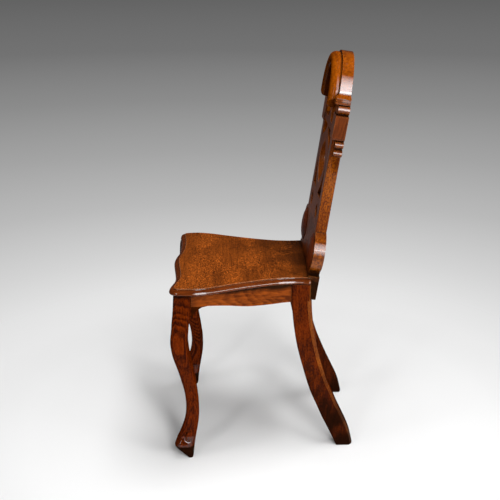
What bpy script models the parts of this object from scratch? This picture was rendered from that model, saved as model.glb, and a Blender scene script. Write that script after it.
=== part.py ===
"""Oak hall chair: pierced raked back, cabriole front legs, sabre rear legs and a moulded seat.

Metres, +Z up. The chair faces -Y, X = 0 is its middle plane and Z = 0 is the floor.
"""

import math

import bmesh
import bpy
from mathutils import Vector

# Overall sizes
CHAIR_DEPTH = 0.433
SEAT_HEIGHT = 0.4286
SEAT_SETBACK = 0.004
SEAT_DEPTH = 0.3212
SEAT_HALF_WIDTH = 0.206
SEAT_THICKNESS = 0.016
BACK_LENGTH = 0.5032
BACK_THICKNESS = 0.026
BACK_RAKE = math.radians(8.64)
JOINT_GAP = 0.0003
CUT_OVERRUN = 0.004

# Moulded edge of the seat
EDGE_PROUD = 0.0088

# Front legs
FRONT_BLOCK_SIZE = 0.038
FRONT_LEG_SIDE_SETBACK = 0.019
FRONT_LEG_SETBACK = 0.010
CABRIOLE_SWEEP_DEPTH = 0.040
CABRIOLE_SPREAD_WIDTH = 0.020

# Rear legs
REAR_LEG_DEPTH = 0.047
REAR_LEG_WIDTH = 0.034
REAR_LEG_SIDE_SETBACK = 0.070
SABRE_SWEEP_DEPTH = 0.104
SABRE_SPREAD_WIDTH = 0.018
REAR_LEG_CHAMFER = 0.006
REAR_LEG_EASING = 0.002
HOUSING_DEPTH = 0.004

# Rails
RAIL_THICKNESS = 0.022
RAIL_HEIGHT = 0.048
REAR_RAIL_HEIGHT = 0.042
SIDE_RAIL_FRONT_SETBACK = 0.019
SIDE_RAIL_REAR_SETBACK = 0.004
FRONT_RAIL_SETBACK = 0.006
APRON_DROP = 0.016
TENON_LENGTH = 0.016
TENON_THICKNESS = 0.008
TENON_SETBACK = 0.007
FRONT_TENON_SETBACK = 0.004
TENON_SHOULDER = 0.006

# Knee brackets and corner blocks
BRACKET_REACH = 0.038
BRACKET_HEIGHT = 0.042
BRACKET_THICKNESS = 0.018
BLOCK_SIZE = 0.045
BLOCK_HEIGHT = 0.032

# Screws
SCREW_RADIUS = 0.002
SCREW_HEAD_RADIUS = 0.004
SCREW_HEAD_HEIGHT = 0.003
SCREW_HEAD_SUNK = 0.0008
SCREW_CLEARANCE = 0.0003
SEAT_SCREW_BITE = 0.010
BACK_SCREW_LENGTH = 0.026
BACK_SCREW_DROP = 0.028
SCREW_FROM_CORNER = 0.014

# Back panel with its lobes and its tongue behind the seat
TONGUE_SIDE_SETBACK = 0.002
TONGUE_DROP = 0.0575
TONGUE_CHAMFER = 0.004
TONGUE_THICKNESS = 0.020
LEDGE_INNER = 0.1195
LEDGE_RISE = 0.0005
LOBE_RADIUS = 0.049
LOBE_CENTRE_X = 0.101
LOBE_CENTRE_V = 0.0535
LOBE_ROOT = -62
PANEL_TOP = 0.109

# Stiles
STILE_OUTER = 0.111
STILE_INNER = 0.080
REED_HEIGHT = 0.0195
REED_PROUD = 0.014
REEDS_BOTTOM = 0.282
NECK_HALF_WIDTH = 0.142
STILE_TOP = 0.377
SHOULDER_PROUD = 0.005

# Crest rail and its hood moulding
ARCH_RADIUS = 0.096
ARCH_OPENING = 0.064
SHOULDER_HALF_WIDTH = 0.1235
SHOULDER_BEAD_RADIUS = 0.0105
SHOULDER_BEAD_RISE = 0.012
SHOULDER_HOLLOW = 0.0035
BOSS_HALF_WIDTH = 0.0135
BOSS_HALF_HEIGHT = 0.011
BOSS_THICKNESS = 0.0095
BOSS_MARGIN = 0.0015
HOOD_THICKNESS = 0.022
HOOD_MARGIN = 0.004
HOOD_FOOT = 0.024

# Splat between the stiles
SPLAT_SILL = 0.170
OVAL_FOOT_RISE = 0.075
OVAL_HEAD_RISE = 0.114
SPLAT_BAR_BOTTOM = 0.329
SPLAT_BAR_TOP = 0.344
FINIAL_HEIGHT = 0.050
EYE_BOTTOM = 0.190
EYE_TOP = 0.2965
EYE_HALF_WIDTH = 0.053
FOOT_SLOT_BOTTOM = 0.116
FOOT_SLOT_TOP = 0.155
FOOT_SLOT_HALF_WIDTH = 0.016
FOOT_SLOT_X = 0.058
SPLAT_TENON_WIDTH = 0.060
SPLAT_TENON_THICKNESS = 0.009
SPLAT_TENON_LENGTH = 0.020

# Dowels in the back
DOWEL_RADIUS = 0.004
DOWEL_LENGTH = 0.036
DOWEL_SHORTFALL = 0.001
DOWEL_SPACING = 0.016

# Volutes on the lobes
VOLUTE_RADIUS = 0.040
VOLUTE_THICKNESS = 0.0098

# Eased edges
EDGE_EASING = 0.0025
SMALL_EASING = 0.001

# Smoothness of curves, as counts
ARC_STEPS = 10
LOBE_STEPS = 14
ARCH_STEPS = 22
CURVE_STEPS = 3
RING_SIDES = 12

SECTION_STEPS = 3

# Angles
SMOOTH_ANGLE = math.radians(35)
LEG_SMOOTH_ANGLE = math.radians(25)
QUARTER = 90
BEAD_REACH = 80

# Colours
OAK_COLOUR = (0.30, 0.11, 0.03)
DARK_OAK_COLOUR = (0.20, 0.07, 0.02)
SEAT_OAK_COLOUR = (0.27, 0.10, 0.035)
RAW_OAK_COLOUR = (0.42, 0.26, 0.13)
IRON_COLOUR = (0.12, 0.11, 0.10)
POLISHED = 0.3
RAW = 0.7
OXIDISED = 0.5

# The sitter's left is +X
SIDES = (("left", 1), ("right", -1))

# Places worked out from the sizes above
FRONT_Y = -CHAIR_DEPTH / 2
SEAT_FRONT_Y = FRONT_Y + SEAT_SETBACK
SEAT_UNDERSIDE = SEAT_HEIGHT - SEAT_THICKNESS
FRAME_TOP = SEAT_UNDERSIDE - JOINT_GAP
SEAT_REAR_Y = SEAT_FRONT_Y + SEAT_DEPTH
TONGUE_FRONT_Y = SEAT_REAR_Y + JOINT_GAP
BACK_REAR_Y = TONGUE_FRONT_Y + TONGUE_THICKNESS
FRONT_BLOCK_Y = FRONT_Y + FRONT_LEG_SETBACK
FRONT_BLOCK_REAR_Y = FRONT_BLOCK_Y + FRONT_BLOCK_SIZE
FRONT_BLOCK_OUTER = SEAT_HALF_WIDTH - FRONT_LEG_SIDE_SETBACK
FRONT_BLOCK_INNER = FRONT_BLOCK_OUTER - FRONT_BLOCK_SIZE
REAR_LEG_REAR_Y = SEAT_REAR_Y + HOUSING_DEPTH
REAR_LEG_FRONT_Y = REAR_LEG_REAR_Y - REAR_LEG_DEPTH
REAR_LEG_OUTER = SEAT_HALF_WIDTH - REAR_LEG_SIDE_SETBACK
REAR_LEG_INNER = REAR_LEG_OUTER - REAR_LEG_WIDTH
TONGUE_HALF_WIDTH = REAR_LEG_OUTER - TONGUE_SIDE_SETBACK
TONGUE_BOTTOM_Z = SEAT_HEIGHT - TONGUE_DROP * math.cos(BACK_RAKE)
RAIL_BOTTOM = FRAME_TOP - RAIL_HEIGHT
FRONT_RAIL_Y = FRONT_BLOCK_Y + FRONT_RAIL_SETBACK
ARCH_CENTRE_V = BACK_LENGTH - ARCH_RADIUS


# Outlines, as shares chosen by hand of the sizes that they follow

# Seat's half plan: share of the half width, share of the depth from the front
SEAT_PLAN_SHARES = (
    (0.000, 0.000), (0.120, 0.002), (0.240, 0.012), (0.400, 0.028), (0.580, 0.034), (0.780, 0.030),
    (0.900, 0.020), (0.970, 0.022), (1.004, 0.050), (1.018, 0.105), (1.018, 0.180), (0.980, 0.280),
    (0.910, 0.390), (0.830, 0.520), (0.760, 0.650), (0.708, 0.770), (0.690, 0.870), (0.692, 0.945),
    (0.700, 1.000),
)

# Seat's edge moulding: share of the proud edge set in, share of the thickness down
EDGE_PROFILE_SHARES = (
    (1.00, 0.00), (0.97, 0.09), (0.76, 0.12), (0.44, 0.20), (0.16, 0.35), (0.00, 0.55), (0.08, 0.74),
    (0.36, 0.86), (0.75, 0.90), (0.75, 1.00),
)

# Cabriole leg: share of the height, then the front, rear, outer and inner edges, each as a share
# of the sweep or of the spread, measured from the faces of the block, and the corner's rounding
CABRIOLE_SHARES = (
    (0.000, -0.410, 0.010, 0.950, -1.400, 0.30),
    (0.010, -0.330, 0.030, 1.050, -1.350, 0.34),
    (0.028, -0.140, 0.055, 1.150, -1.250, 0.40),
    (0.052, 0.030, 0.080, 1.200, -1.200, 0.42),
    (0.075, 0.085, 0.105, 1.200, -1.200, 0.42),
    (0.098, 0.075, 0.140, 1.150, -1.250, 0.40),
    (0.128, -0.040, 0.190, 1.050, -1.350, 0.38),
    (0.160, -0.200, 0.245, 0.950, -1.400, 0.38),
    (0.200, -0.375, 0.320, 0.850, -1.450, 0.38),
    (0.250, -0.520, 0.385, 0.800, -1.500, 0.38),
    (0.300, -0.585, 0.400, 0.750, -1.450, 0.38),
    (0.355, -0.575, 0.380, 0.650, -1.250, 0.37),
    (0.410, -0.495, 0.320, 0.550, -1.000, 0.35),
    (0.470, -0.340, 0.235, 0.500, -0.750, 0.33),
    (0.540, -0.130, 0.115, 0.500, -0.550, 0.30),
    (0.610, 0.100, -0.040, 0.600, -0.400, 0.28),
    (0.665, 0.212, -0.140, 0.650, -0.250, 0.26),
    (0.715, 0.250, -0.180, 0.650, -0.180, 0.24),
    (0.780, 0.180, -0.135, 0.580, -0.100, 0.20),
    (0.840, 0.125, -0.060, 0.430, -0.050, 0.15),
    (0.890, 0.070, -0.010, 0.240, -0.010, 0.08),
    (1.000, 0.000, 0.000, 0.000, 0.000, 0.06),
)

# Sabre leg: share of the height, then the front and rear edges swept back, and the outward splay
SABRE_SHARES = (
    (0.000, 1.065, 0.998, 1.00), (0.024, 1.025, 0.985, 0.97), (0.075, 0.932, 0.934, 0.90),
    (0.130, 0.825, 0.852, 0.82), (0.190, 0.710, 0.742, 0.73), (0.255, 0.600, 0.622, 0.64),
    (0.330, 0.470, 0.496, 0.53), (0.410, 0.362, 0.368, 0.42), (0.500, 0.260, 0.254, 0.31),
    (0.600, 0.155, 0.150, 0.20), (0.700, 0.080, 0.078, 0.12), (0.800, 0.035, 0.024, 0.05),
    (0.900, 0.000, 0.000, 0.00), (1.000, 0.000, 0.000, 0.00),
)

# Lower edge of a side rail: share of the length from the front, share of the height raised
SIDE_RAIL_SHARES = (
    (0.00, 0.16), (0.16, 0.16), (0.26, 0.14), (0.38, 0.10), (0.50, 0.03), (0.62, 0.00),
    (0.80, 0.03), (0.90, 0.07), (1.00, 0.08),
)

# Lower edge of the front apron: share of the half length from the middle, share of the drop
APRON_SHARES = (
    (0.00, 1.00), (0.12, 0.92), (0.24, 0.58), (0.36, 0.16), (0.50, 0.00), (0.68, 0.06),
    (0.78, 0.12), (1.00, 0.12),
)

# Splat's oval, from its foot on the sill out to the stile: share of the rise, share of the stile's place
OVAL_FOOT_SHARES = (
    (0.00, 0.280), (0.09, 0.370), (0.24, 0.530), (0.45, 0.695), (0.67, 0.820), (0.87, 0.935),
    (1.00, 0.990),
)

# Splat's oval, from the stile in to the bar above: share of the rise, share of the stile's place
OVAL_HEAD_SHARES = (
    (0.00, 0.990), (0.16, 0.875), (0.34, 0.650), (0.57, 0.375), (0.75, 0.200), (0.90, 0.135),
    (1.00, 0.130),
)

# Neck of a stile, above its reeds: share of the height, share of the neck's half width
NECK_SHARES = (
    (0.00, 0.880), (0.10, 0.960), (0.25, 1.000), (0.50, 0.975), (0.72, 0.905), (0.88, 0.865),
    (1.00, 0.860),
)

# Hood's section: share of the half width across, share of the thickness forward
HOOD_SECTION_SHARES = (
    (-1.00, 0.00), (1.00, 0.00), (1.00, 0.55), (0.87, 0.78), (0.50, 0.94), (0.00, 1.00),
    (-0.50, 0.94), (-0.87, 0.78), (-1.00, 0.55),
)

# Volute turned on a lobe: share of the thickness out, share of the radius
VOLUTE_SHARES = (
    (0.00, 1.00), (0.30, 1.00), (0.62, 0.93), (0.86, 0.78), (1.00, 0.55), (0.92, 0.38), (0.60, 0.29),
    (0.60, 0.225), (1.00, 0.215), (1.28, 0.15), (1.40, 0.07),
)

# Shoulder boss: share of the thickness out, share of its half width and half height
BOSS_SHARES = (
    (0.00, 1.00), (0.45, 1.00), (0.75, 0.88), (0.93, 0.62), (1.00, 0.30),
)

# Splat's finial, from the bar up to its tip: share of the height, share of the stile's place
FINIAL_SHARES = (
    (0.00, 0.375), (0.12, 0.225), (0.28, 0.138), (0.48, 0.125), (0.66, 0.165), (0.80, 0.160),
    (0.93, 0.090), (1.00, 0.000),
)


# Curve helpers

def arc(centre_x, centre_y, radius, start, end, steps):
    """Points on an arc, from start to end in degrees."""
    points = []
    for step in range(steps + 1):
        angle = math.radians(start + (end - start) * step / steps)
        points.append((centre_x + radius * math.cos(angle), centre_y + radius * math.sin(angle)))
    return points


def smooth(points, steps=CURVE_STEPS):
    """Points of a smooth curve through the points given, ends included."""
    padded = [points[0]] + list(points) + [points[-1]]
    curve = []
    for index in range(len(points) - 1):
        before, first, second, after = (Vector(point) for point in padded[index:index + 4])
        for step in range(steps):
            t = step / steps
            middle = 2 * first + (second - before) * t
            bend = (2 * before - 5 * first + 4 * second - after) * t * t
            twist = (3 * first - before - 3 * second + after) * t * t * t
            curve.append(tuple((middle + bend + twist) / 2))
    curve.append(tuple(points[-1]))
    return curve


def mirrored(points):
    """A half outline from bottom middle to top middle, closed by its mirror image."""
    left = [(-x, y) for x, y in reversed(points) if abs(x) > SMALL_EASING * SMALL_EASING]
    return list(points) + left


def inset_curve(points, distance):
    """The curve moved to its left by a distance, its two ends kept on their own lines."""
    moved = []
    last = len(points) - 1
    for index, point in enumerate(points):
        before = Vector(points[max(index - 1, 0)])
        after = Vector(points[min(index + 1, last)])
        along = (after - before).normalized()
        moved.append(Vector(point) + Vector((-along.y, along.x)) * distance)
    moved[0].y = points[0][1]
    moved[last].y = points[last][1]
    return [tuple(point) for point in moved]


# Mesh helpers

def clear_scene():
    for thing in list(bpy.data.objects):
        bpy.data.objects.remove(thing, do_unlink=True)


def finish(name, colour, roughness=POLISHED, metallic=0):
    material = bpy.data.materials.new(name)
    material.use_nodes = True
    shader = material.node_tree.nodes["Principled BSDF"]
    shader.inputs["Base Color"].default_value = (*colour, 1.0)
    shader.inputs["Roughness"].default_value = roughness
    shader.inputs["Metallic"].default_value = metallic
    return material


def add_object(name, bm, material=None, parent=None):
    bmesh.ops.recalc_face_normals(bm, faces=bm.faces)
    mesh = bpy.data.meshes.new(name)
    bm.to_mesh(mesh)
    bm.free()
    item = bpy.data.objects.new(name, mesh)
    bpy.context.scene.collection.objects.link(item)
    if material:
        mesh.materials.append(material)
    if parent:
        item.parent = parent
    return item


def shade(item, angle=SMOOTH_ANGLE):
    item.data.shade_smooth()
    item.data.set_sharp_from_angle(angle=angle)


def fill_rings(bm, rings):
    """Bridge closed rings of points and cap the first and the last."""
    rows = [[bm.verts.new(point) for point in ring] for ring in rings]
    count = len(rows[0])
    for lower, upper in zip(rows, rows[1:]):
        for index in range(count):
            following = (index + 1) % count
            bm.faces.new((lower[index], lower[following], upper[following], upper[index]))
    bm.faces.new(rows[0])
    bm.faces.new(rows[-1])


def plate_mesh(outline, near, far, holes=(), seams=None, eased=False):
    """A sawn board: an outline with holes, extruded from near to far, its arrises marked for easing."""
    bm = bmesh.new()
    weight = bm.edges.layers.float.new("bevel_weight_edge")
    edges = []
    for loop in [outline, *holes]:
        verts = [bm.verts.new((x, v, 0.0)) for x, v in loop]
        edges += [bm.edges.new((verts[i], verts[(i + 1) % len(verts)])) for i in range(len(verts))]
    bmesh.ops.triangle_fill(bm, use_beauty=True, use_dissolve=False, edges=edges)
    front = list(bm.verts)
    faces = list(bm.faces)
    sawn = set(edges)
    result = bmesh.ops.extrude_face_region(bm, geom=faces, use_keep_orig=True)
    back = {item for item in result["geom"] if isinstance(item, bmesh.types.BMVert)}
    back_faces = {item for item in result["geom"] if isinstance(item, bmesh.types.BMFace)}
    for item in result["geom"]:
        if isinstance(item, bmesh.types.BMEdge):
            if len([face for face in item.link_faces if face in back_faces]) == 1:
                sawn.add(item)
    if eased:
        for edge in sawn:
            first, second = (vert.co for vert in edge.verts)
            if not seams or not seams(first.x, first.y, second.x, second.y):
                edge[weight] = 1.0
    for vert in front:
        vert.co = (vert.co.x, near, vert.co.y)
    for vert in back:
        vert.co = (vert.co.x, far, vert.co.y)
    return bm


def ease(item, width, segments=2):
    bevel = item.modifiers.new("eased edges", "BEVEL")
    bevel.width = width
    bevel.segments = segments
    bevel.limit_method = "WEIGHT"
    bevel.use_clamp_overlap = True


def boolean(item, cutter, operation="DIFFERENCE"):
    change = item.modifiers.new(cutter.name, "BOOLEAN")
    change.operation = operation
    change.solver = "EXACT"
    change.object = cutter


def hide_cutter(cutter):
    cutter.hide_render = True
    cutter.display_type = "WIRE"
    return cutter


def box_mesh(low, high):
    bm = bmesh.new()
    bmesh.ops.create_cube(bm, size=1.0)
    for vert in bm.verts:
        vert.co = [low[i] if vert.co[i] < 0 else high[i] for i in range(3)]
    return bm


def box_cutter(name, low, high, parent=None):
    return hide_cutter(add_object(name, box_mesh(low, high), parent=parent))


def turned_mesh(bm, profile, origin, axis, sides=RING_SIDES):
    """A solid turned about an axis: profile holds the distance along it and the radius."""
    axis = Vector(axis).normalized()
    across = axis.orthogonal().normalized()
    upward = axis.cross(across)
    rings = []
    for along, radius in profile:
        centre = Vector(origin) + axis * along
        ring = []
        for side in range(sides):
            angle = 2 * math.pi * side / sides
            ring.append(centre + (across * math.cos(angle) + upward * math.sin(angle)) * radius)
        rings.append(ring)
    fill_rings(bm, rings)


def turned_object(name, solids, material=None, parent=None, sides=RING_SIDES):
    """One object of separate turned solids, each with its profile, origin and axis."""
    bm = bmesh.new()
    for profile, origin, axis in solids:
        turned_mesh(bm, profile, origin, axis, sides)
    return add_object(name, bm, material, parent)


def rounded_section(low_x, high_x, low_y, high_y, rounding, z):
    """A rectangle with round corners, four points to a corner."""
    radius = rounding * min(high_x - low_x, high_y - low_y)
    points = []
    corners = ((high_x, high_y), (low_x, high_y), (low_x, low_y), (high_x, low_y))
    for turn, (x, y) in enumerate(corners):
        start = turn * QUARTER
        centre_x = x - radius if x == high_x else x + radius
        centre_y = y - radius if y == high_y else y + radius
        for px, py in arc(centre_x, centre_y, radius, start, start + QUARTER, SECTION_STEPS):
            points.append((px, py, z))
    return points


# Seat

def make_seat(material):
    half = [(x * SEAT_HALF_WIDTH, SEAT_FRONT_Y + y * SEAT_DEPTH) for x, y in SEAT_PLAN_SHARES]
    right = smooth(half, 2)
    left = [(-x, y) for x, y in reversed(right[1:])]
    nose = left + right
    bm = bmesh.new()
    rings = []
    for set_in, down in EDGE_PROFILE_SHARES:
        curve = inset_curve(nose, set_in * EDGE_PROUD)
        rings.append([(x, y, SEAT_HEIGHT - down * SEAT_THICKNESS) for x, y in curve])
    fill_rings(bm, rings)
    seat = add_object("seat_board", bm, material)
    shade(seat)
    return seat


# Legs

def make_front_leg(name, side, material):
    rings = []
    for height, front, rear, outer, inner, rounding in CABRIOLE_SHARES:
        high_x = FRONT_BLOCK_OUTER + outer * CABRIOLE_SPREAD_WIDTH
        low_x = FRONT_BLOCK_INNER - inner * CABRIOLE_SPREAD_WIDTH
        low_y = FRONT_BLOCK_Y - front * CABRIOLE_SWEEP_DEPTH
        high_y = FRONT_BLOCK_REAR_Y + rear * CABRIOLE_SWEEP_DEPTH
        ring = rounded_section(low_x, high_x, low_y, high_y, rounding, height * FRAME_TOP)
        rings.append([(side * x, y, z) for x, y, z in ring])
    bm = bmesh.new()
    fill_rings(bm, rings)
    leg = add_object(name, bm, material)
    shade(leg)
    return leg


def make_rear_leg(name, side, material):
    rings = []
    for height, front, rear, splay in SABRE_SHARES:
        front_y = REAR_LEG_FRONT_Y + front * SABRE_SWEEP_DEPTH
        rear_y = REAR_LEG_REAR_Y + rear * SABRE_SWEEP_DEPTH
        outer = REAR_LEG_OUTER + splay * SABRE_SPREAD_WIDTH
        inner = outer - REAR_LEG_WIDTH
        e, c = REAR_LEG_EASING, REAR_LEG_CHAMFER
        corners = (
            (inner + e, front_y), (outer - e, front_y), (outer, front_y + e), (outer, rear_y - c),
            (outer - c, rear_y), (inner + e, rear_y), (inner, rear_y - e), (inner, front_y + e),
        )
        rings.append([(side * x, y, height * FRAME_TOP) for x, y in corners])
    bm = bmesh.new()
    fill_rings(bm, rings)
    leg = add_object(name, bm, material)
    housing = box_cutter(
        name + "_housing",
        (-SEAT_HALF_WIDTH, SEAT_REAR_Y, TONGUE_BOTTOM_Z - JOINT_GAP),
        (SEAT_HALF_WIDTH, SEAT_REAR_Y + CUT_OVERRUN + HOUSING_DEPTH, FRAME_TOP + CUT_OVERRUN),
    )
    boolean(leg, housing)
    shade(leg, LEG_SMOOTH_ANGLE)
    return leg


# Rails

def side_rail_x(y):
    """Outer face of a side rail, which runs in towards the rear."""
    front_x = FRONT_BLOCK_OUTER - SIDE_RAIL_FRONT_SETBACK
    rear_x = REAR_LEG_OUTER - SIDE_RAIL_REAR_SETBACK
    share = (y - FRONT_BLOCK_REAR_Y) / (REAR_LEG_FRONT_Y - FRONT_BLOCK_REAR_Y)
    return front_x + (rear_x - front_x) * share


def side_rail_slab(low_y, high_y, low_z, high_z, outer_set, inner_set, side, lower=None):
    """A slab that follows the side rail's slant, between two set-ins from its outer face."""
    lower = lower or [(low_y, low_z), (high_y, low_z)]
    outline = lower + [(high_y, high_z), (low_y, high_z)]
    bm = bmesh.new()
    rings = []
    for set_in in (outer_set, inner_set):
        rings.append([(side * (side_rail_x(y) - set_in), y, z) for y, z in outline])
    fill_rings(bm, rings)
    return bm


def make_side_rail(name, side, material, legs):
    low_y = FRONT_BLOCK_REAR_Y + JOINT_GAP
    high_y = REAR_LEG_FRONT_Y - JOINT_GAP
    lower = [(low_y + along * (high_y - low_y), RAIL_BOTTOM + up * RAIL_HEIGHT)
             for along, up in SIDE_RAIL_SHARES]
    lower = smooth(lower, 2)
    bm = side_rail_slab(low_y, high_y, RAIL_BOTTOM, FRAME_TOP, 0.0, RAIL_THICKNESS, side, lower)
    rail = add_object(name, bm, material)
    near, far = TENON_SETBACK, TENON_SETBACK + TENON_THICKNESS
    low_z = RAIL_BOTTOM + RAIL_HEIGHT * SIDE_RAIL_SHARES[0][1] + TENON_SHOULDER
    high_z = FRAME_TOP - TENON_SHOULDER
    tenon_bm = side_rail_slab(
        low_y - TENON_LENGTH, high_y + TENON_LENGTH, low_z, high_z, near, far, side)
    tenon = hide_cutter(add_object(name + "_tenon", tenon_bm))
    boolean(rail, tenon, "UNION")
    room = JOINT_GAP
    mortise_bm = side_rail_slab(
        low_y - TENON_LENGTH - room, high_y + TENON_LENGTH + room, low_z - room, high_z + room,
        near - room, far + room, side)
    mortise = hide_cutter(add_object(name + "_mortise", mortise_bm))
    for leg in legs:
        boolean(leg, mortise)
    return rail


def make_cross_rail(name, half_length, front_y, setback, lower, material, legs, low_z):
    """A rail across the chair, tenoned at both ends: lower is its bottom edge from left to right."""
    outline = lower + [(half_length, FRAME_TOP), (-half_length, FRAME_TOP)]
    bm = plate_mesh(outline, front_y, front_y + RAIL_THICKNESS)
    rail = add_object(name, bm, material)
    near = front_y + setback
    far = near + TENON_THICKNESS
    high_z = FRAME_TOP - TENON_SHOULDER
    reach = half_length + TENON_LENGTH
    tenon = box_cutter(name + "_tenon", (-reach, near, low_z), (reach, far, high_z))
    boolean(rail, tenon, "UNION")
    room = JOINT_GAP
    mortise = box_cutter(
        name + "_mortise", (-reach - room, near - room, low_z - room),
        (reach + room, far + room, high_z + room))
    for leg in legs:
        boolean(leg, mortise)
    return rail


def make_front_rail(material, legs):
    half = FRONT_BLOCK_INNER - JOINT_GAP
    right = smooth([(share * half, RAIL_BOTTOM + (1 - drop) * APRON_DROP)
                    for share, drop in APRON_SHARES], 2)
    lower = [(-x, z) for x, z in reversed(right[1:])] + right
    return make_cross_rail(
        "front_rail", half, FRONT_RAIL_Y, FRONT_TENON_SETBACK, lower, material, legs,
        RAIL_BOTTOM + APRON_DROP + TENON_SHOULDER)


def make_rear_rail(material, legs):
    half = REAR_LEG_INNER - JOINT_GAP
    bottom = FRAME_TOP - REAR_RAIL_HEIGHT
    front_y = SEAT_REAR_Y - RAIL_THICKNESS
    lower = [(-half, bottom), (half, bottom)]
    return make_cross_rail(
        "rear_rail", half, front_y, TENON_SETBACK, lower, material, legs, bottom + TENON_SHOULDER)


# Knee brackets under the rails, and glue blocks inside their corners

def bracket_outline(top_z):
    """Curved ear: run along the rail from the leg, height down the leg."""
    curve = arc(BRACKET_REACH, top_z - BRACKET_HEIGHT, BRACKET_REACH, QUARTER, 2 * QUARTER,
                ARC_STEPS // 2)
    curve = [(x, top_z - (BRACKET_REACH - (z - top_z + BRACKET_HEIGHT)) * BRACKET_HEIGHT
              / BRACKET_REACH) for x, z in curve]
    return [(SMALL_EASING, top_z)] + [(BRACKET_REACH, top_z)] + curve[:-1] + [
        (SMALL_EASING, top_z - BRACKET_HEIGHT)]


def make_side_bracket(name, side, material):
    top_z = RAIL_BOTTOM + RAIL_HEIGHT * SIDE_RAIL_SHARES[0][1] - JOINT_GAP
    outline = [(FRONT_BLOCK_REAR_Y + run, z) for run, z in bracket_outline(top_z)]
    rings = []
    for set_in in (0.0, BRACKET_THICKNESS):
        rings.append([(side * (side_rail_x(y) - set_in), y, z) for y, z in outline])
    bm = bmesh.new()
    fill_rings(bm, rings)
    return add_object(name, bm, material)


def make_front_bracket(name, side, material):
    top_z = RAIL_BOTTOM + (1 - APRON_SHARES[-1][1]) * APRON_DROP - JOINT_GAP
    outline = [(side * (FRONT_BLOCK_INNER - run), z) for run, z in bracket_outline(top_z)]
    bm = plate_mesh(outline, FRONT_RAIL_Y, FRONT_RAIL_Y + BRACKET_THICKNESS)
    return add_object(name, bm, material)


def make_corner_block(name, side, outline, material):
    low = FRAME_TOP - BLOCK_HEIGHT
    bm = bmesh.new()
    rings = [[(side * x, y, z) for x, y in outline] for z in (low, FRAME_TOP)]
    fill_rings(bm, rings)
    return add_object(name, bm, material)


def front_block_outline():
    front = FRONT_RAIL_Y + RAIL_THICKNESS + JOINT_GAP
    rear = front + BLOCK_SIZE
    slant = RAIL_THICKNESS + JOINT_GAP
    return [
        (side_rail_x(front) - slant - BLOCK_SIZE, front), (FRONT_BLOCK_INNER - slant, front),
        (side_rail_x(FRONT_BLOCK_REAR_Y) - slant, FRONT_BLOCK_REAR_Y),
        (side_rail_x(rear) - slant, rear),
    ]


def rear_block_outline():
    rear = SEAT_REAR_Y - RAIL_THICKNESS - JOINT_GAP
    leg_y = REAR_LEG_FRONT_Y - JOINT_GAP
    leg_x = REAR_LEG_INNER - JOINT_GAP
    slant = RAIL_THICKNESS + JOINT_GAP
    front = leg_y - BLOCK_SIZE / 2
    return [
        (side_rail_x(front) - slant, front), (side_rail_x(leg_y) - slant, leg_y),
        (leg_x, leg_y), (leg_x, rear), (leg_x - BLOCK_SIZE, rear),
    ]


# Back, in its own raked frame: x across, v up the rake from the seat's level, y to the rear

def back_volume(outline, near, far, holes=(), seams=None):
    return plate_mesh(outline, near, far, holes, seams=seams, eased=True)


def make_back_panel(material, frame):
    lobe_end = math.degrees(math.acos((STILE_OUTER - LOBE_CENTRE_X) / LOBE_RADIUS))
    lobe = arc(LOBE_CENTRE_X, LOBE_CENTRE_V, LOBE_RADIUS, LOBE_ROOT, lobe_end, LOBE_STEPS)
    seam = lobe[-1][1]
    half = [
        (0.0, -TONGUE_DROP), (TONGUE_HALF_WIDTH - TONGUE_CHAMFER, -TONGUE_DROP),
        (TONGUE_HALF_WIDTH, -TONGUE_DROP + TONGUE_CHAMFER), (TONGUE_HALF_WIDTH, LEDGE_RISE),
        (LEDGE_INNER, LEDGE_RISE), *lobe, (STILE_INNER - JOINT_GAP, seam),
        (STILE_INNER - JOINT_GAP, PANEL_TOP), (0.0, PANEL_TOP),
    ]

    def on_seam(x1, v1, x2, v2):
        inside = max(abs(x1), abs(x2)) < STILE_OUTER + SMALL_EASING
        return inside and min(v1, v2) > seam - SMALL_EASING or max(v1, v2) < LEDGE_RISE * 2

    bm = back_volume(mirrored(half), -BACK_THICKNESS, 0.0, seams=on_seam)
    panel = add_object("back_panel", bm, material, frame)
    ease(panel, EDGE_EASING)
    seat_space = box_cutter(
        "seat_space",
        (-SEAT_HALF_WIDTH, SEAT_REAR_Y - BACK_THICKNESS, TONGUE_BOTTOM_Z - CUT_OVERRUN),
        (SEAT_HALF_WIDTH, TONGUE_FRONT_Y, SEAT_HEIGHT + JOINT_GAP),
    )
    boolean(panel, seat_space)
    shade(panel)
    return panel, seam


def reed_outline(bottom):
    """Outer edge of one half-round reed."""
    middle = bottom + REED_HEIGHT / 2
    points = []
    for x, v in arc(0, 0, 1, -QUARTER, QUARTER, ARC_STEPS - 2):
        points.append((STILE_OUTER + x * REED_PROUD, middle + v * REED_HEIGHT / 2))
    return points


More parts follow.
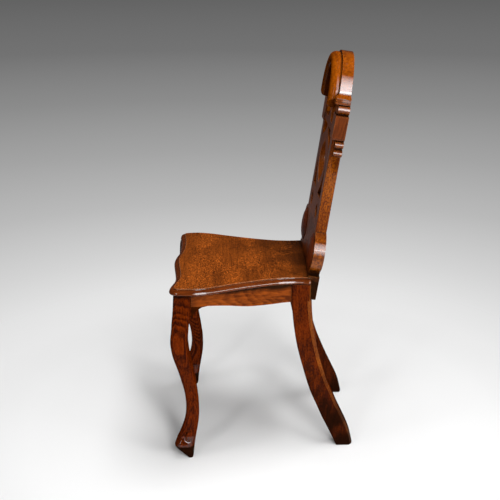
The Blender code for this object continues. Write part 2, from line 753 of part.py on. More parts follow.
def make_stile(name, side, seam, material, frame):
    neck_bottom = REEDS_BOTTOM + 2 * REED_HEIGHT + SMALL_EASING
    neck = smooth([(width * NECK_HALF_WIDTH, neck_bottom + up * (STILE_TOP - neck_bottom))
                   for up, width in NECK_SHARES])
    reeds = reed_outline(REEDS_BOTTOM) + reed_outline(REEDS_BOTTOM + REED_HEIGHT)[1:]
    outline = [
        (STILE_INNER, seam + JOINT_GAP), (STILE_OUTER, seam + JOINT_GAP), *reeds, *neck,
        (STILE_INNER, STILE_TOP),
    ]

    def on_seam(x1, v1, x2, v2):
        low = max(v1, v2) < seam + SMALL_EASING
        high = min(v1, v2) > STILE_TOP - SMALL_EASING
        return low or high

    outline = [(side * x, v) for x, v in outline]
    bm = back_volume(outline, -BACK_THICKNESS, 0.0, seams=on_seam)
    stile = add_object(name, bm, material, frame)
    ease(stile, EDGE_EASING)
    cap_outline = [(STILE_INNER + SMALL_EASING, REEDS_BOTTOM), *reeds, *neck,
                   (STILE_INNER + SMALL_EASING, STILE_TOP)]
    cap_outline = [(side * x, v) for x, v in cap_outline]
    front = -BACK_THICKNESS - SHOULDER_PROUD
    cap_bm = plate_mesh(cap_outline, front, front + 2 * SHOULDER_PROUD, eased=True)
    cap = hide_cutter(add_object(name + "_shoulder", cap_bm, material, frame))
    ease(cap, EDGE_EASING)
    boolean(stile, cap, "UNION")
    shade(stile)
    return stile


def crest_foot():
    """Outer edge of the crest's shoulder, from its joint up to the springing of the arch."""
    bead_v = STILE_TOP + SHOULDER_BEAD_RISE
    bead_x = SHOULDER_HALF_WIDTH - SHOULDER_BEAD_RADIUS
    bead = arc(bead_x, bead_v, SHOULDER_BEAD_RADIUS, -BEAD_REACH, BEAD_REACH, ARC_STEPS - 2)
    springing = bead_v + SHOULDER_BEAD_RADIUS + SHOULDER_HOLLOW
    return bead, springing


def make_crest(material, frame):
    bead, springing = crest_foot()
    low = STILE_TOP + JOINT_GAP
    rise = math.degrees(math.asin((springing - ARCH_CENTRE_V) / ARCH_RADIUS))
    outer = arc(0, ARCH_CENTRE_V, ARCH_RADIUS, rise, QUARTER, ARCH_STEPS // 2)
    inner = arc(0, ARCH_CENTRE_V, ARCH_OPENING, QUARTER, 0, ARCH_STEPS // 2)
    foot = smooth([inner[-1], ((ARCH_OPENING + STILE_INNER) / 2, (ARCH_CENTRE_V + low) / 2),
                   (STILE_INNER, low)])
    right = [*inner, *foot[1:], (SHOULDER_HALF_WIDTH - SHOULDER_HOLLOW, low), *bead,
             (outer[0][0] + HOOD_MARGIN, springing), *outer]
    left = [(-x, v) for x, v in reversed(right[1:-1])]

    def on_seam(x1, v1, x2, v2):
        return max(v1, v2) < low + SMALL_EASING / 2

    bm = back_volume(right + left, -BACK_THICKNESS, 0.0, seams=on_seam)
    crest = add_object("back_crest", bm, material, frame)
    ease(crest, EDGE_EASING)
    shade(crest)
    return crest


def make_hood(material, frame):
    """Bold arched moulding on the front of the crest, its face half round."""
    outer_radius = ARCH_RADIUS - HOOD_MARGIN
    half_width = (outer_radius - ARCH_OPENING) / 2
    centre_radius = ARCH_OPENING + half_width
    rear = -BACK_THICKNESS - JOINT_GAP
    path = [(centre_radius, ARCH_CENTRE_V - HOOD_FOOT)]
    path += arc(0, ARCH_CENTRE_V, centre_radius, 0, 2 * QUARTER, ARCH_STEPS)
    path += [(-centre_radius, ARCH_CENTRE_V - HOOD_FOOT)]
    last = len(path) - 1
    rings = []
    for index, point in enumerate(path):
        before = Vector(path[max(index - 1, 0)])
        after = Vector(path[min(index + 1, last)])
        along = (after - before).normalized()
        if index in (0, 1):
            along = Vector((0, 1))
        if index in (last - 1, last):
            along = Vector((0, -1))
        outward = Vector((along.y, -along.x))
        ring = []
        for across, forward in HOOD_SECTION_SHARES:
            place = Vector(point) + outward * across * half_width
            ring.append((place.x, rear - forward * HOOD_THICKNESS, place.y))
        rings.append(ring)
    bm = bmesh.new()
    fill_rings(bm, rings)
    hood = add_object("crest_hood_moulding", bm, material, frame)
    shade(hood)
    return hood


def make_boss(name, side, material, frame):
    """Domed oval boss on the crest's shoulder, beside the hood's foot."""
    centre_x = ARCH_RADIUS - HOOD_MARGIN + BOSS_MARGIN + BOSS_HALF_WIDTH
    centre_v = STILE_TOP + SHOULDER_BEAD_RISE
    rings = []
    for out, share in BOSS_SHARES:
        depth = -BACK_THICKNESS - JOINT_GAP - out * BOSS_THICKNESS
        oval = arc(0, 0, share, 0, 4 * QUARTER, 2 * RING_SIDES)[:-1]
        ring = []
        for x, v in oval:
            across = side * (centre_x + x * BOSS_HALF_WIDTH)
            ring.append((across, depth, centre_v + v * BOSS_HALF_HEIGHT))
        rings.append(ring)
    bm = bmesh.new()
    fill_rings(bm, rings)
    boss = add_object(name, bm, material, frame)
    shade(boss)
    return boss


def leaf_hole(centre_x, bottom, top, half_width, steps=ARC_STEPS):
    """A pointed leaf opening, widest at its middle."""
    right = []
    for step in range(steps + 1):
        t = step / steps
        right.append((half_width * math.sin(math.pi * t), bottom + (top - bottom) * t))
    loop = right + [(-x, v) for x, v in reversed(right[1:-1])]
    return [(centre_x + x, v) for x, v in loop]


def make_splat(material, frame):
    low = PANEL_TOP + JOINT_GAP
    wide = STILE_INNER - JOINT_GAP
    head_start = SPLAT_SILL + OVAL_HEAD_RISE
    oval_foot = smooth([(x * STILE_INNER, SPLAT_SILL + v * OVAL_FOOT_RISE)
                        for v, x in OVAL_FOOT_SHARES], 2)
    oval_head = smooth([(x * STILE_INNER, head_start + v * (SPLAT_BAR_BOTTOM - head_start))
                        for v, x in OVAL_HEAD_SHARES], 2)
    finial = smooth([(x * STILE_INNER, SPLAT_BAR_TOP + v * FINIAL_HEIGHT)
                     for v, x in FINIAL_SHARES], 2)
    half = [(0.0, low), (wide, low), (wide, SPLAT_SILL), *oval_foot,
            (wide, SPLAT_SILL + OVAL_FOOT_RISE + SMALL_EASING), (wide, head_start - SMALL_EASING),
            *oval_head, (wide, SPLAT_BAR_BOTTOM), (wide, SPLAT_BAR_TOP), *finial]
    holes = [leaf_hole(0.0, EYE_BOTTOM, EYE_TOP, EYE_HALF_WIDTH)]
    for side in (-1, 1):
        holes.append(leaf_hole(side * FOOT_SLOT_X, FOOT_SLOT_BOTTOM, FOOT_SLOT_TOP,
                               FOOT_SLOT_HALF_WIDTH))

    def on_seam(x1, v1, x2, v2):
        return min(abs(x1), abs(x2)) > wide - SMALL_EASING or max(v1, v2) < low + SMALL_EASING

    bm = back_volume(mirrored(half), -BACK_THICKNESS, 0.0, holes, on_seam)
    splat = add_object("back_splat", bm, material, frame)
    ease(splat, EDGE_EASING)
    shade(splat)
    return splat


def join_splat(splat, panel, frame):
    """A stub tenon under the splat, in a mortise in the panel's top."""
    reach = SPLAT_TENON_WIDTH / 2
    middle = -BACK_THICKNESS / 2
    half = SPLAT_TENON_THICKNESS / 2
    low = PANEL_TOP - SPLAT_TENON_LENGTH
    high = PANEL_TOP + CUT_OVERRUN
    room = JOINT_GAP
    tenon = box_cutter(
        "splat_tenon", (-reach, middle - half, low), (reach, middle + half, high), frame)
    mortise = box_cutter(
        "splat_mortise", (-reach - room, middle - half - room, low - room),
        (reach + room, middle + half + room, high + room), frame)
    boolean(splat, tenon, "UNION")
    boolean(panel, mortise)


def make_dowels(joints, material, frame):
    """Pairs of dowels between the back's pieces: each joint has a name, a height and a place."""
    half = DOWEL_LENGTH / 2 - DOWEL_SHORTFALL
    reach = DOWEL_LENGTH / 2
    hole = DOWEL_RADIUS + JOINT_GAP
    dowel_profile = ((-half, DOWEL_RADIUS), (half, DOWEL_RADIUS))
    hole_profile = ((-reach, hole), (reach, hole))
    holes = []
    for name, height, centre_x in joints:
        for word, side in SIDES:
            for number, offset in enumerate((-DOWEL_SPACING / 2, DOWEL_SPACING / 2), 1):
                origin = (side * (centre_x + offset), -BACK_THICKNESS / 2, height)
                dowel = turned_object(
                    f"{name}_{word}_{number}", [(dowel_profile, origin, (0, 0, 1))], material, frame)
                shade(dowel)
                holes.append((hole_profile, origin, (0, 0, 1)))
    return hide_cutter(turned_object("dowel_holes", holes, None, frame))


def make_volute(name, side, material, frame):
    """Round boss on a lobe, with a raised eye."""
    profile = [(out * VOLUTE_THICKNESS, radius * VOLUTE_RADIUS) for out, radius in VOLUTE_SHARES]
    origin = (side * LOBE_CENTRE_X, -BACK_THICKNESS - JOINT_GAP, LOBE_CENTRE_V)
    solid = (profile, origin, (0, -1, 0))
    volute = turned_object(name, [solid], material, frame, 2 * RING_SIDES)
    shade(volute)
    return volute


# Screws

def screw_profile(length):
    return (
        (0.0, SCREW_HEAD_RADIUS), (SCREW_HEAD_HEIGHT, SCREW_RADIUS), (length, SCREW_RADIUS),
    )


def screw_hole_profile(length):
    room = SCREW_CLEARANCE
    return (
        (-CUT_OVERRUN, SCREW_HEAD_RADIUS + room), (0.0, SCREW_HEAD_RADIUS + room),
        (SCREW_HEAD_HEIGHT, SCREW_RADIUS + room), (length + room, SCREW_RADIUS + room),
    )


def make_screws(name, places, length, axis, material, pieces):
    """Screws of one kind, each its own object, and their holes in the pieces that they hold."""
    for number, origin in enumerate(places, 1):
        solid = (screw_profile(length), origin, axis)
        shade(turned_object(f"{name}_{number}", [solid], material))
    holes = [(screw_hole_profile(length), origin, axis) for origin in places]
    cutter = hide_cutter(turned_object(name + "_holes", holes))
    for piece in pieces:
        boolean(piece, cutter)


# Whole chair

def build():
    clear_scene()
    oak = finish("polished oak", OAK_COLOUR)
    dark_oak = finish("shaded oak", DARK_OAK_COLOUR)
    seat_oak = finish("seat oak", SEAT_OAK_COLOUR)
    inner_oak = finish("raw oak", RAW_OAK_COLOUR, RAW)
    iron = finish("screw iron", IRON_COLOUR, OXIDISED, 1)

    seat = make_seat(seat_oak)
    front_legs = [make_front_leg("front_leg_" + word, side, oak) for word, side in SIDES]
    rear_legs = [make_rear_leg("rear_leg_" + word, side, oak) for word, side in SIDES]
    for (word, side), front, rear in zip(SIDES, front_legs, rear_legs):
        make_side_rail("side_rail_" + word, side, oak, (front, rear))
        make_side_bracket("side_knee_bracket_" + word, side, oak)
        make_front_bracket("front_knee_bracket_" + word, side, oak)
    make_front_rail(oak, front_legs)
    rear_rail = make_rear_rail(inner_oak, rear_legs)
    blocks = []
    for word, side in SIDES:
        blocks.append(make_corner_block("front_corner_block_" + word, side, front_block_outline(),
                                        inner_oak))
        blocks.append(make_corner_block("rear_corner_block_" + word, side, rear_block_outline(),
                                        inner_oak))
    screw_places = []
    for _, side in SIDES:
        front_x, front_y = front_block_outline()[1]
        rear_x, rear_y = rear_block_outline()[3]
        step = SCREW_FROM_CORNER
        low = FRAME_TOP - BLOCK_HEIGHT + JOINT_GAP
        screw_places.append((side * (front_x - step), front_y + step, low))
        screw_places.append((side * (rear_x - step), rear_y - step, low))
    make_screws("seat_screw", screw_places, BLOCK_HEIGHT + SEAT_SCREW_BITE, (0, 0, 1), iron,
                (*blocks, seat))

    frame = bpy.data.objects.new("back_frame", None)
    bpy.context.scene.collection.objects.link(frame)
    frame.location = (0.0, BACK_REAR_Y, SEAT_HEIGHT)
    frame.rotation_euler = (-BACK_RAKE, 0.0, 0.0)
    panel, seam = make_back_panel(oak, frame)
    stiles = [make_stile("back_stile_" + word, side, seam, oak, frame) for word, side in SIDES]
    crest = make_crest(oak, frame)
    make_hood(oak, frame)
    splat = make_splat(dark_oak, frame)
    join_splat(splat, panel, frame)
    stile_middle = (STILE_INNER + STILE_OUTER) / 2
    neck_middle = (STILE_INNER + SHOULDER_HALF_WIDTH) / 2
    dowel_holes = make_dowels(
        (("stile_foot_dowel", seam, stile_middle), ("crest_dowel", STILE_TOP, neck_middle)),
        inner_oak, frame)
    for piece in (panel, *stiles, crest):
        boolean(piece, dowel_holes)
    for word, side in SIDES:
        make_volute("back_volute_" + word, side, dark_oak, frame)
        make_boss("crest_shoulder_boss_" + word, side, dark_oak, frame)
    rear_face = BACK_REAR_Y - BACK_SCREW_DROP * math.tan(BACK_RAKE) - JOINT_GAP
    back_places = []
    for x in (REAR_LEG_OUTER - REAR_LEG_WIDTH / 2, REAR_LEG_INNER / 2):
        for side in (-1, 1):
            back_places.append((side * x, rear_face - SCREW_HEAD_SUNK,
                                SEAT_HEIGHT - BACK_SCREW_DROP))
    make_screws("back_screw", back_places, BACK_SCREW_LENGTH, (0, -1, 0), iron,
                (panel, *rear_legs, rear_rail))


build()
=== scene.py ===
# %% [markdown]
# # An oak hall chair in old polish
#
# This lesson dresses a finished assembly. The frame holds every piece of the chair as a plain
# solid. Here each visible piece gets its moulded edges, its carving and its polished oak, and then
# the chair is lit as a product is lit: a tall soft light beside the camera and a wide one above.

# %% Load the chair
import math

import bmesh
import bpy
import numpy as np
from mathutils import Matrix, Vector


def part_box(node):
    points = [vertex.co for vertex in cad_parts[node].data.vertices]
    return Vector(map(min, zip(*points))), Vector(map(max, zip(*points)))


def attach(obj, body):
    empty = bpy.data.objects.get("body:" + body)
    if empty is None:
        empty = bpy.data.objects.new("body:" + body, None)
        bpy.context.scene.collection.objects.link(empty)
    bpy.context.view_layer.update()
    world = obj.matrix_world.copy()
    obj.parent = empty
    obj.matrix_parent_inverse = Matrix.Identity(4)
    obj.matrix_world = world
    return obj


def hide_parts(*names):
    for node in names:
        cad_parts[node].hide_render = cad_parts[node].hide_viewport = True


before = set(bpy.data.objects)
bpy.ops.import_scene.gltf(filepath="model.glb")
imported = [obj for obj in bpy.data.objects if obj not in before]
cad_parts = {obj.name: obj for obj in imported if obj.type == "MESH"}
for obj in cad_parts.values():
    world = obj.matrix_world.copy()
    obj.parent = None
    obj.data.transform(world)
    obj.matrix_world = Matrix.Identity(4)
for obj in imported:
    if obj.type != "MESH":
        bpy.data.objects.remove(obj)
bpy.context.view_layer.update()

# %% [markdown]
# ## Small tools for curves and meshes
#
# Joiners draw a shape as a few points and spring a lath through them. A Catmull-Rom curve does the
# same, because it passes through every point that it is given. A loft then bridges closed rings of
# points, which suits legs and mouldings, and a board is an outline with holes that is given a
# thickness. Plain mesh code is used here, since modifiers could not follow such shares of a height.

# %% Curves through points
def through(points, steps):
    """Points of a smooth curve through the points given, ends included."""
    points = np.asarray(points, dtype=float)
    padded = np.vstack([points[:1], points, points[-1:]])
    curve = []
    for before, first, second, after in zip(padded, padded[1:], padded[2:], padded[3:]):
        for t in np.arange(steps) / steps:
            bend = 2 * before - 5 * first + 4 * second - after
            twist = 3 * first - before - 3 * second + after
            curve.append((2 * first + (second - before) * t + bend * t * t + twist * t ** 3) / 2)
    curve.append(points[-1])
    return np.array(curve)


def spaced(points, spacing):
    """The same curve, with its points at an even spacing."""
    points = np.asarray(points, dtype=float)
    lengths = np.concatenate([[0], np.cumsum(np.linalg.norm(np.diff(points, axis=0), axis=1))])
    places = np.linspace(0, lengths[-1], max(2, round(lengths[-1] / spacing) + 1))
    return np.column_stack([np.interp(places, lengths, axis) for axis in points.T])


def arc(centre, radius, start, end, steps):
    """Points on an arc in a plane, from start to end in degrees."""
    angles = np.radians(np.linspace(start, end, steps + 1))
    return np.column_stack([np.cos(angles), np.sin(angles)]) * radius + centre


def at_height(ring, height):
    """A ring of the floor's plane, lifted."""
    return np.column_stack([ring, np.full(len(ring), height)])


print("an arc of", len(arc((0, 0), 1, 0, 90, 8)), "points")

# %% A place in the scene
SHARP_ANGLE = math.radians(38)
SAWN_ARRIS = math.radians(50)
SIDES = (("left", 1), ("right", -1))


def into_scene(name, data):
    """An object for a mesh, a lamp or a camera, linked to the scene."""
    made = bpy.data.objects.new(name, data)
    bpy.context.scene.collection.objects.link(made)
    return made


def dressed(piece, replaces):
    """A piece that rides with the chair and stands for its plain solids."""
    piece.data.shade_smooth()
    piece.data.set_sharp_from_angle(angle=SHARP_ANGLE)
    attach(piece, "root")
    if replaces:
        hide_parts(*replaces)
    return piece


def eased(piece, width, segments, limit):
    """The piece with eased arrises, picked out by their weight or by their angle."""
    bevel = piece.modifiers.new("eased arrises", "BEVEL")
    bevel.width, bevel.segments, bevel.limit_method = width, segments, limit
    bevel.angle_limit = SAWN_ARRIS
    bevel.harden_normals = True
    return piece


print("arrises sharper than", round(math.degrees(SHARP_ANGLE)), "degrees stay crisp")


# %% Pieces made of rings
def add_piece(name, verts, faces, material, slot, replaces=(), finish_of_face=None):
    """A piece made of its corners and faces.

    material is one finish or a list, and finish_of_face then gives each face's number in it.
    """
    mesh = bpy.data.meshes.new(name)
    mesh.from_pydata([tuple(map(float, v)) for v in verts], [], faces)
    bm = bmesh.new()
    bm.from_mesh(mesh)
    bmesh.ops.recalc_face_normals(bm, faces=bm.faces)
    bm.to_mesh(mesh)
    bm.free()
    for finish in material if isinstance(material, list) else [material]:
        mesh.materials.append(finish)
    if finish_of_face is not None:
        mesh.polygons.foreach_set("material_index", finish_of_face)
    return dressed(into_scene(name, mesh), replaces)


def loft(rings):
    """Verts and faces that bridge closed rings of equal count, with a cap on each end."""
    count = len(rings[0])
    verts = np.vstack(rings)
    faces = []
    for row in range(len(rings) - 1):
        for i in range(count):
            j = (i + 1) % count
            low, high = row * count, (row + 1) * count
            faces.append((low + i, low + j, high + j, high + i))
    last = (len(rings) - 1) * count
    faces.append(tuple(reversed(range(count))))
    faces.append(tuple(range(last, last + count)))
    return verts, faces


print("loft of two triangles:", len(loft([np.zeros((3, 3))] * 2)[1]), "faces")

# %% [markdown]
# ## The back's own plane
#
# The back leans to the rear. Everything in it is drawn flat, as on the bench: x across the chair,
# v up the rake from the seat and y towards the rear. One function then leans the points.

# %% Lean the back
SEAT_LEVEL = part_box("seat_board")[1].z
SEAT_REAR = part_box("seat_board")[1].y
BACK_RAKE = math.radians(8.64)
BACK_THICKNESS = 0.026
BACK_REAR = SEAT_REAR + 0.0203
GAP = 0.0003


def leaned(points):
    """Points of the back's plane (x, y to the rear, v up the rake) at their place in the chair."""
    x, y, v = np.asarray(points, dtype=float).T
    cos, sin = math.cos(BACK_RAKE), math.sin(BACK_RAKE)
    return np.column_stack([x, BACK_REAR + y * cos + v * sin, SEAT_LEVEL - y * sin + v * cos])


print("top of the back at", [round(c, 4) for c in leaned([(0, 0, 0.5032)])[0]])


# %% Boards sawn to an outline
def board(name, outline, near, far, material, replaces=(), holes=(), softness=None,
          ease=0.0025, segments=4):
    """A leaned board with eased arrises. softness(x1, v1, x2, v2) says how far, from 0 to 1."""
    bm = bmesh.new()
    weight = bm.edges.layers.float.new("bevel_weight_edge")
    edges = []
    for loop in [outline, *holes]:
        verts = [bm.verts.new((x, v, 0.0)) for x, v in loop]
        edges += [bm.edges.new((verts[i - 1], verts[i])) for i in range(len(verts))]
    bmesh.ops.triangle_fill(bm, use_beauty=True, use_dissolve=False, edges=edges)
    front, arrises = list(bm.verts), set(edges)
    made = bmesh.ops.extrude_face_region(bm, geom=list(bm.faces), use_keep_orig=True)["geom"]
    rear = {item for item in made if isinstance(item, bmesh.types.BMVert)}
    rear_faces = {item for item in made if isinstance(item, bmesh.types.BMFace)}
    for item in made:
        if isinstance(item, bmesh.types.BMEdge):
            if sum(face in rear_faces for face in item.link_faces) == 1:
                arrises.add(item)
    for edge in arrises:
        ends = [c for vert in edge.verts for c in vert.co[:2]]
        edge[weight] = softness(*ends) if softness else 1.0
    for verts, depth in ((front, near), (rear, far)):
        for vert in verts:
            vert.co = leaned([(vert.co.x, depth, vert.co.y)])[0]
    bmesh.ops.recalc_face_normals(bm, faces=bm.faces)
    mesh = bpy.data.meshes.new(name)
    bm.to_mesh(mesh)
    bm.free()
    mesh.materials.append(material)
    return eased(dressed(into_scene(name, mesh), replaces), ease, segments, "WEIGHT")


def cut(piece, cutter, operation="DIFFERENCE"):
    """Cut a piece with a solid that itself stays out of the picture."""
    cutter.hide_render = True
    change = piece.modifiers.new(cutter.name, "BOOLEAN")
    change.operation, change.solver, change.object = operation, "EXACT", cutter
    change.material_mode = "TRANSFER"


def block(name, low, high):
    """A plain block, for cutting."""
    bm = bmesh.new()
    bmesh.ops.create_cube(bm, size=1.0)
    for vert in bm.verts:
        vert.co = [low[i] if vert.co[i] < 0 else high[i] for i in range(3)]
    mesh = bpy.data.meshes.new(name)
    bm.to_mesh(mesh)
    bm.free()
    return into_scene(name, mesh)


print("boards can be sawn")

# %% [markdown]
# ## The camera
#
# The camera stands on the chair's left, a little above the crest, and looks down about twenty
# degrees. Its place was found by fitting it to the feet and the corners of the seat.

# %% Stand the camera
CAMERA_PLACE = Vector((2.2832, -0.0739, 1.2634))
CAMERA_TURN = 0.0196
CAMERA_DIP = 0.3421
view_direction = Vector((
    -math.cos(CAMERA_DIP) * math.cos(CAMERA_TURN),
    math.cos(CAMERA_DIP) * math.sin(CAMERA_TURN),
    -math.sin(CAMERA_DIP),
))
camera_data = bpy.data.cameras.new("camera")
camera_data.lens, camera_data.sensor_width = 72, 36
camera = into_scene("camera", camera_data)
camera.location = CAMERA_PLACE
camera.rotation_euler = view_direction.to_track_quat("-Z", "Y").to_euler()
bpy.context.scene.camera = camera
print("camera", round((CAMERA_PLACE - Vector((0, 0, 0.45))).length, 2), "m from the chair")

# %% [markdown]
# ## Groups of nodes that every finish shares
#
# Oak has growth rings, open pores, silvery flecks where it is sawn on the quarter, and broad
# patches of colour. All of them belong to the log, not to the surface, so they are worked out from
# the place in space. A sawn or carved piece then shows ovals and long streaks by itself, just as
# wood does. The grain is a group with named inputs, placed in each finish with its own values.

# %% Helpers for node trees
SOCKET_KINDS = {type(None): "NodeSocketVector", tuple: "NodeSocketColor", float: "NodeSocketFloat"}


def new_group(name, inputs, outputs):
    """A shader node group, what its named inputs give and what its named outputs take.

    The value of an input says its kind: None is a vector, a tuple a colour, a float a number.
    """
    tree = bpy.data.node_groups.new(name, "ShaderNodeTree")
    for label, value in inputs.items():
        kind = SOCKET_KINDS[type(value)]
        socket = tree.interface.new_socket(name=label, in_out="INPUT", socket_type=kind)
        if value is not None:
            socket.default_value = value
    for label in outputs:
        kind = SOCKET_KINDS[tuple if label == "Color" else float]
        tree.interface.new_socket(name=label, in_out="OUTPUT", socket_type=kind)
    return tree, tree.nodes.new("NodeGroupInput").outputs, tree.nodes.new("NodeGroupOutput").inputs


def feed(tree, socket, value):
    """Set a socket, or link it to another."""
    if isinstance(value, bpy.types.NodeSocket):
        tree.links.new(value, socket)
    else:
        socket.default_value = value


def node(tree, kind, settings=None, **inputs):
    """Add a node, set its options and feed its sockets, by their names or as i0, i1 and so on."""
    made = tree.nodes.new("ShaderNode" + kind)
    for key, value in (settings or {}).items():
        setattr(made, key, value)
    for key, value in inputs.items():
        by_number = key[0] == "i" and key[1:].isdigit()
        feed(tree, made.inputs[int(key[1:]) if by_number else key.replace("_", " ")], value)
    return made


def placed(tree, group, **values):
    """What a group puts out in a finish, with its sockets set or linked."""
    return node(tree, "Group", {"node_tree": group}, **values).outputs


print("helpers for node trees are ready")


# %% Sums, ranges and noises
def math_node(tree, operation, *values, clamp=False):
    """The result of one sum."""
    values = {f"i{index}": value for index, value in enumerate(values)}
    return node(tree, "Math", {"operation": operation, "use_clamp": clamp}, **values).outputs[0]


def plus(tree, first, second, clamp=False):
    """Two values added."""
    return math_node(tree, "ADD", first, second, clamp=clamp)


def minus(tree, first, second):
    """One value less another."""
    return math_node(tree, "SUBTRACT", first, second)


def times(tree, first, second):
    """Two values multiplied."""
    return math_node(tree, "MULTIPLY", first, second)


def vector_node(tree, operation, *values, **named):
    """The result of one sum with vectors."""
    values = {f"i{index}": value for index, value in enumerate(values)}
    made = node(tree, "VectorMath", {"operation": operation}, **values, **named)
    return made.outputs["Value" if operation in ("LENGTH", "DISTANCE", "DOT_PRODUCT") else 0]


def stretched(tree, vector, scale):
    """A vector scaled by three numbers."""
    return vector_node(tree, "MULTIPLY", vector, scale)


def range_node(tree, value, low, high, to_low=0.0, to_high=1.0):
    """A value carried smoothly from one range to another."""
    return node(tree, "MapRange", {"interpolation_type": "SMOOTHSTEP"}, Value=value, From_Min=low,
                From_Max=high, To_Min=to_low, To_Max=to_high).outputs[0]


def mix_colour(tree, factor, first, second, blend="MIX"):
    """Two colours mixed by a factor."""
    settings = {"data_type": "RGBA", "blend_type": blend}
    return node(tree, "Mix", settings, i0=factor, i6=first, i7=second).outputs[2]


def noise(tree, vector, scale, detail, **more):
    """Soft noise in the place given."""
    return node(tree, "TexNoise", Vector=vector, Scale=scale, Detail=detail, **more).outputs[0]


print("sums, ranges and noises are ready")

# %% Oak grain as a group
grain, takes, gives = new_group("oak grain", {
    "Turn": None, "Heart": None, "Light": (0.4, 0.12, 0.02, 1), "Dark": (0.1, 0.02, 0.004, 1),
    "Ring Width": 0.004, "Ring Contrast": 0.5, "Waviness": 0.006, "Streaks": 0.5, "Patches": 0.5,
    "Flecks": 0.0, "Speckle": 0.0, "Unevenness": 2.6}, ("Color", "Height"))
SILVER = 2.3  # how much paler than the wood the flecks are
place = node(grain, "TexCoord").outputs["Object"]
log = node(grain, "Mapping", {"vector_type": "TEXTURE"}, Vector=place, Location=takes["Heart"],
           Rotation=takes["Turn"]).outputs[0]
slow = node(grain, "TexNoise", Vector=stretched(grain, log, (1, 1, 0.22)), Scale=13.0, Detail=2.0)
sway = vector_node(grain, "SUBTRACT", slow.outputs["Color"], (0.5, 0.5, 0.5))
warped = vector_node(grain, "ADD", log, vector_node(grain, "SCALE", sway, Scale=takes["Waviness"]))


def in_log(stretch, scale, detail, **more):
    """Noise in the log, stretched by three numbers."""
    return noise(grain, stretched(grain, warped, stretch), scale, detail, **more)


from_heart = vector_node(grain, "LENGTH", stretched(grain, warped, (1, 1, 0)))
rings = math_node(grain, "DIVIDE", from_heart, takes["Ring Width"])
rings = plus(grain, rings, times(grain, in_log((1, 1, 0.12), 42.0, 3.0), takes["Unevenness"]))
ring_share = math_node(grain, "FRACT", rings)
late_wood = times(grain, range_node(grain, ring_share, 0.0, 0.75),
                  range_node(grain, ring_share, 1.0, 0.8))
clear = in_log((1, 1, 0.3), 26.0, 2.0)
late_wood = times(grain, late_wood, range_node(grain, clear, 0.3, 0.62, 0.25, 1.0))
streak = range_node(grain, in_log((1, 1, 0.06), 190.0, 4.0, Roughness=0.7), 0.40, 0.62)
pores = range_node(grain, in_log((1, 1, 0.03), 1100.0, 1.0), 0.56, 0.70)
patch = range_node(grain, in_log((1, 1, 0.5), 17.0, 3.0), 0.35, 0.68)
speckle = range_node(grain, in_log((1, 1, 0.6), 330.0, 1.0), 0.46, 0.62)
fleck = range_node(grain, in_log((0.75, 0.8, 0.9), 370.0, 2.0, Distortion=0.6), 0.51, 0.62)
fleck = times(grain, fleck, range_node(grain, clear, 0.62, 0.36, 0.3, 1.0))
depth = times(grain, pores, 0.22)
for mask, label in ((late_wood, "Ring Contrast"), (streak, "Streaks"), (patch, "Patches"),
                    (speckle, "Speckle")):
    depth = plus(grain, depth, times(grain, mask, takes[label]), clamp=True)
wood = mix_colour(grain, depth, takes["Light"], takes["Dark"])
silver = vector_node(grain, "SCALE", takes["Light"], Scale=SILVER)
feed(grain, gives["Color"], mix_colour(grain, times(grain, fleck, takes["Flecks"]), wood, silver))
height = minus(grain, minus(grain, 1.0, times(grain, pores, 0.6)), times(grain, streak, 0.25))
feed(grain, gives["Height"], height)
print("oak grain:", len(grain.nodes), "nodes")

# %% [markdown]
# ## Wear and painted shade: dark corners and rubbed edges
#
# Corners and the places under other parts are darkened: painted shade, with some wax and dust.
# Hands wear the outer edges bright. The first is found from how much of the sky a point sees, the
# second from how far a rounded normal turns away from the true one. Both are masks, so they are one
# more group.

# %% Wear and painted shade as a group
# Near black, for painted shade and grime in corners and under parts, and for knots and pegs.
NEAR_BLACK = (0.012, 0.004, 0.002, 1)
PLAIN_OAK = (0.3, 0.1, 0.02, 1)
wear_and_painted_shade, takes, gives = new_group("age of the polish", {
    "Color": PLAIN_OAK, "Rubbed": (0.45, 0.16, 0.04, 1), "Wear": 0.4, "Grime": 0.6,
    "Gloss Low": 0.26, "Gloss High": 0.42}, ("Color", "Roughness"))
place = node(wear_and_painted_shade, "TexCoord").outputs["Object"]
surface = node(wear_and_painted_shade, "NewGeometry").outputs["Normal"]
rounded = node(wear_and_painted_shade, "Bevel", {"samples": 4}, Radius=0.0022).outputs[0]
turned = minus(wear_and_painted_shade, 1.0, vector_node(wear_and_painted_shade, "DOT_PRODUCT", surface, rounded))
edge = range_node(wear_and_painted_shade, turned, 0.01, 0.14)
open_sky, near_sky = (
    node(wear_and_painted_shade, "AmbientOcclusion", {"samples": 6, "only_local": False}, Distance=reach).outputs["AO"]
    for reach in (0.03, 0.005))
hidden = math_node(wear_and_painted_shade, "MAXIMUM", range_node(wear_and_painted_shade, open_sky, 0.85, 0.25),
                   range_node(wear_and_painted_shade, near_sky, 0.92, 0.45))
edge = times(wear_and_painted_shade, edge, range_node(wear_and_painted_shade, open_sky, 0.55, 0.85))
edge = times(wear_and_painted_shade, edge, range_node(wear_and_painted_shade, noise(wear_and_painted_shade, place, 45.0, 3.0), 0.35, 0.65, 0.3, 1.0))
worn = mix_colour(wear_and_painted_shade, times(wear_and_painted_shade, edge, takes["Wear"]), takes["Color"], takes["Rubbed"])
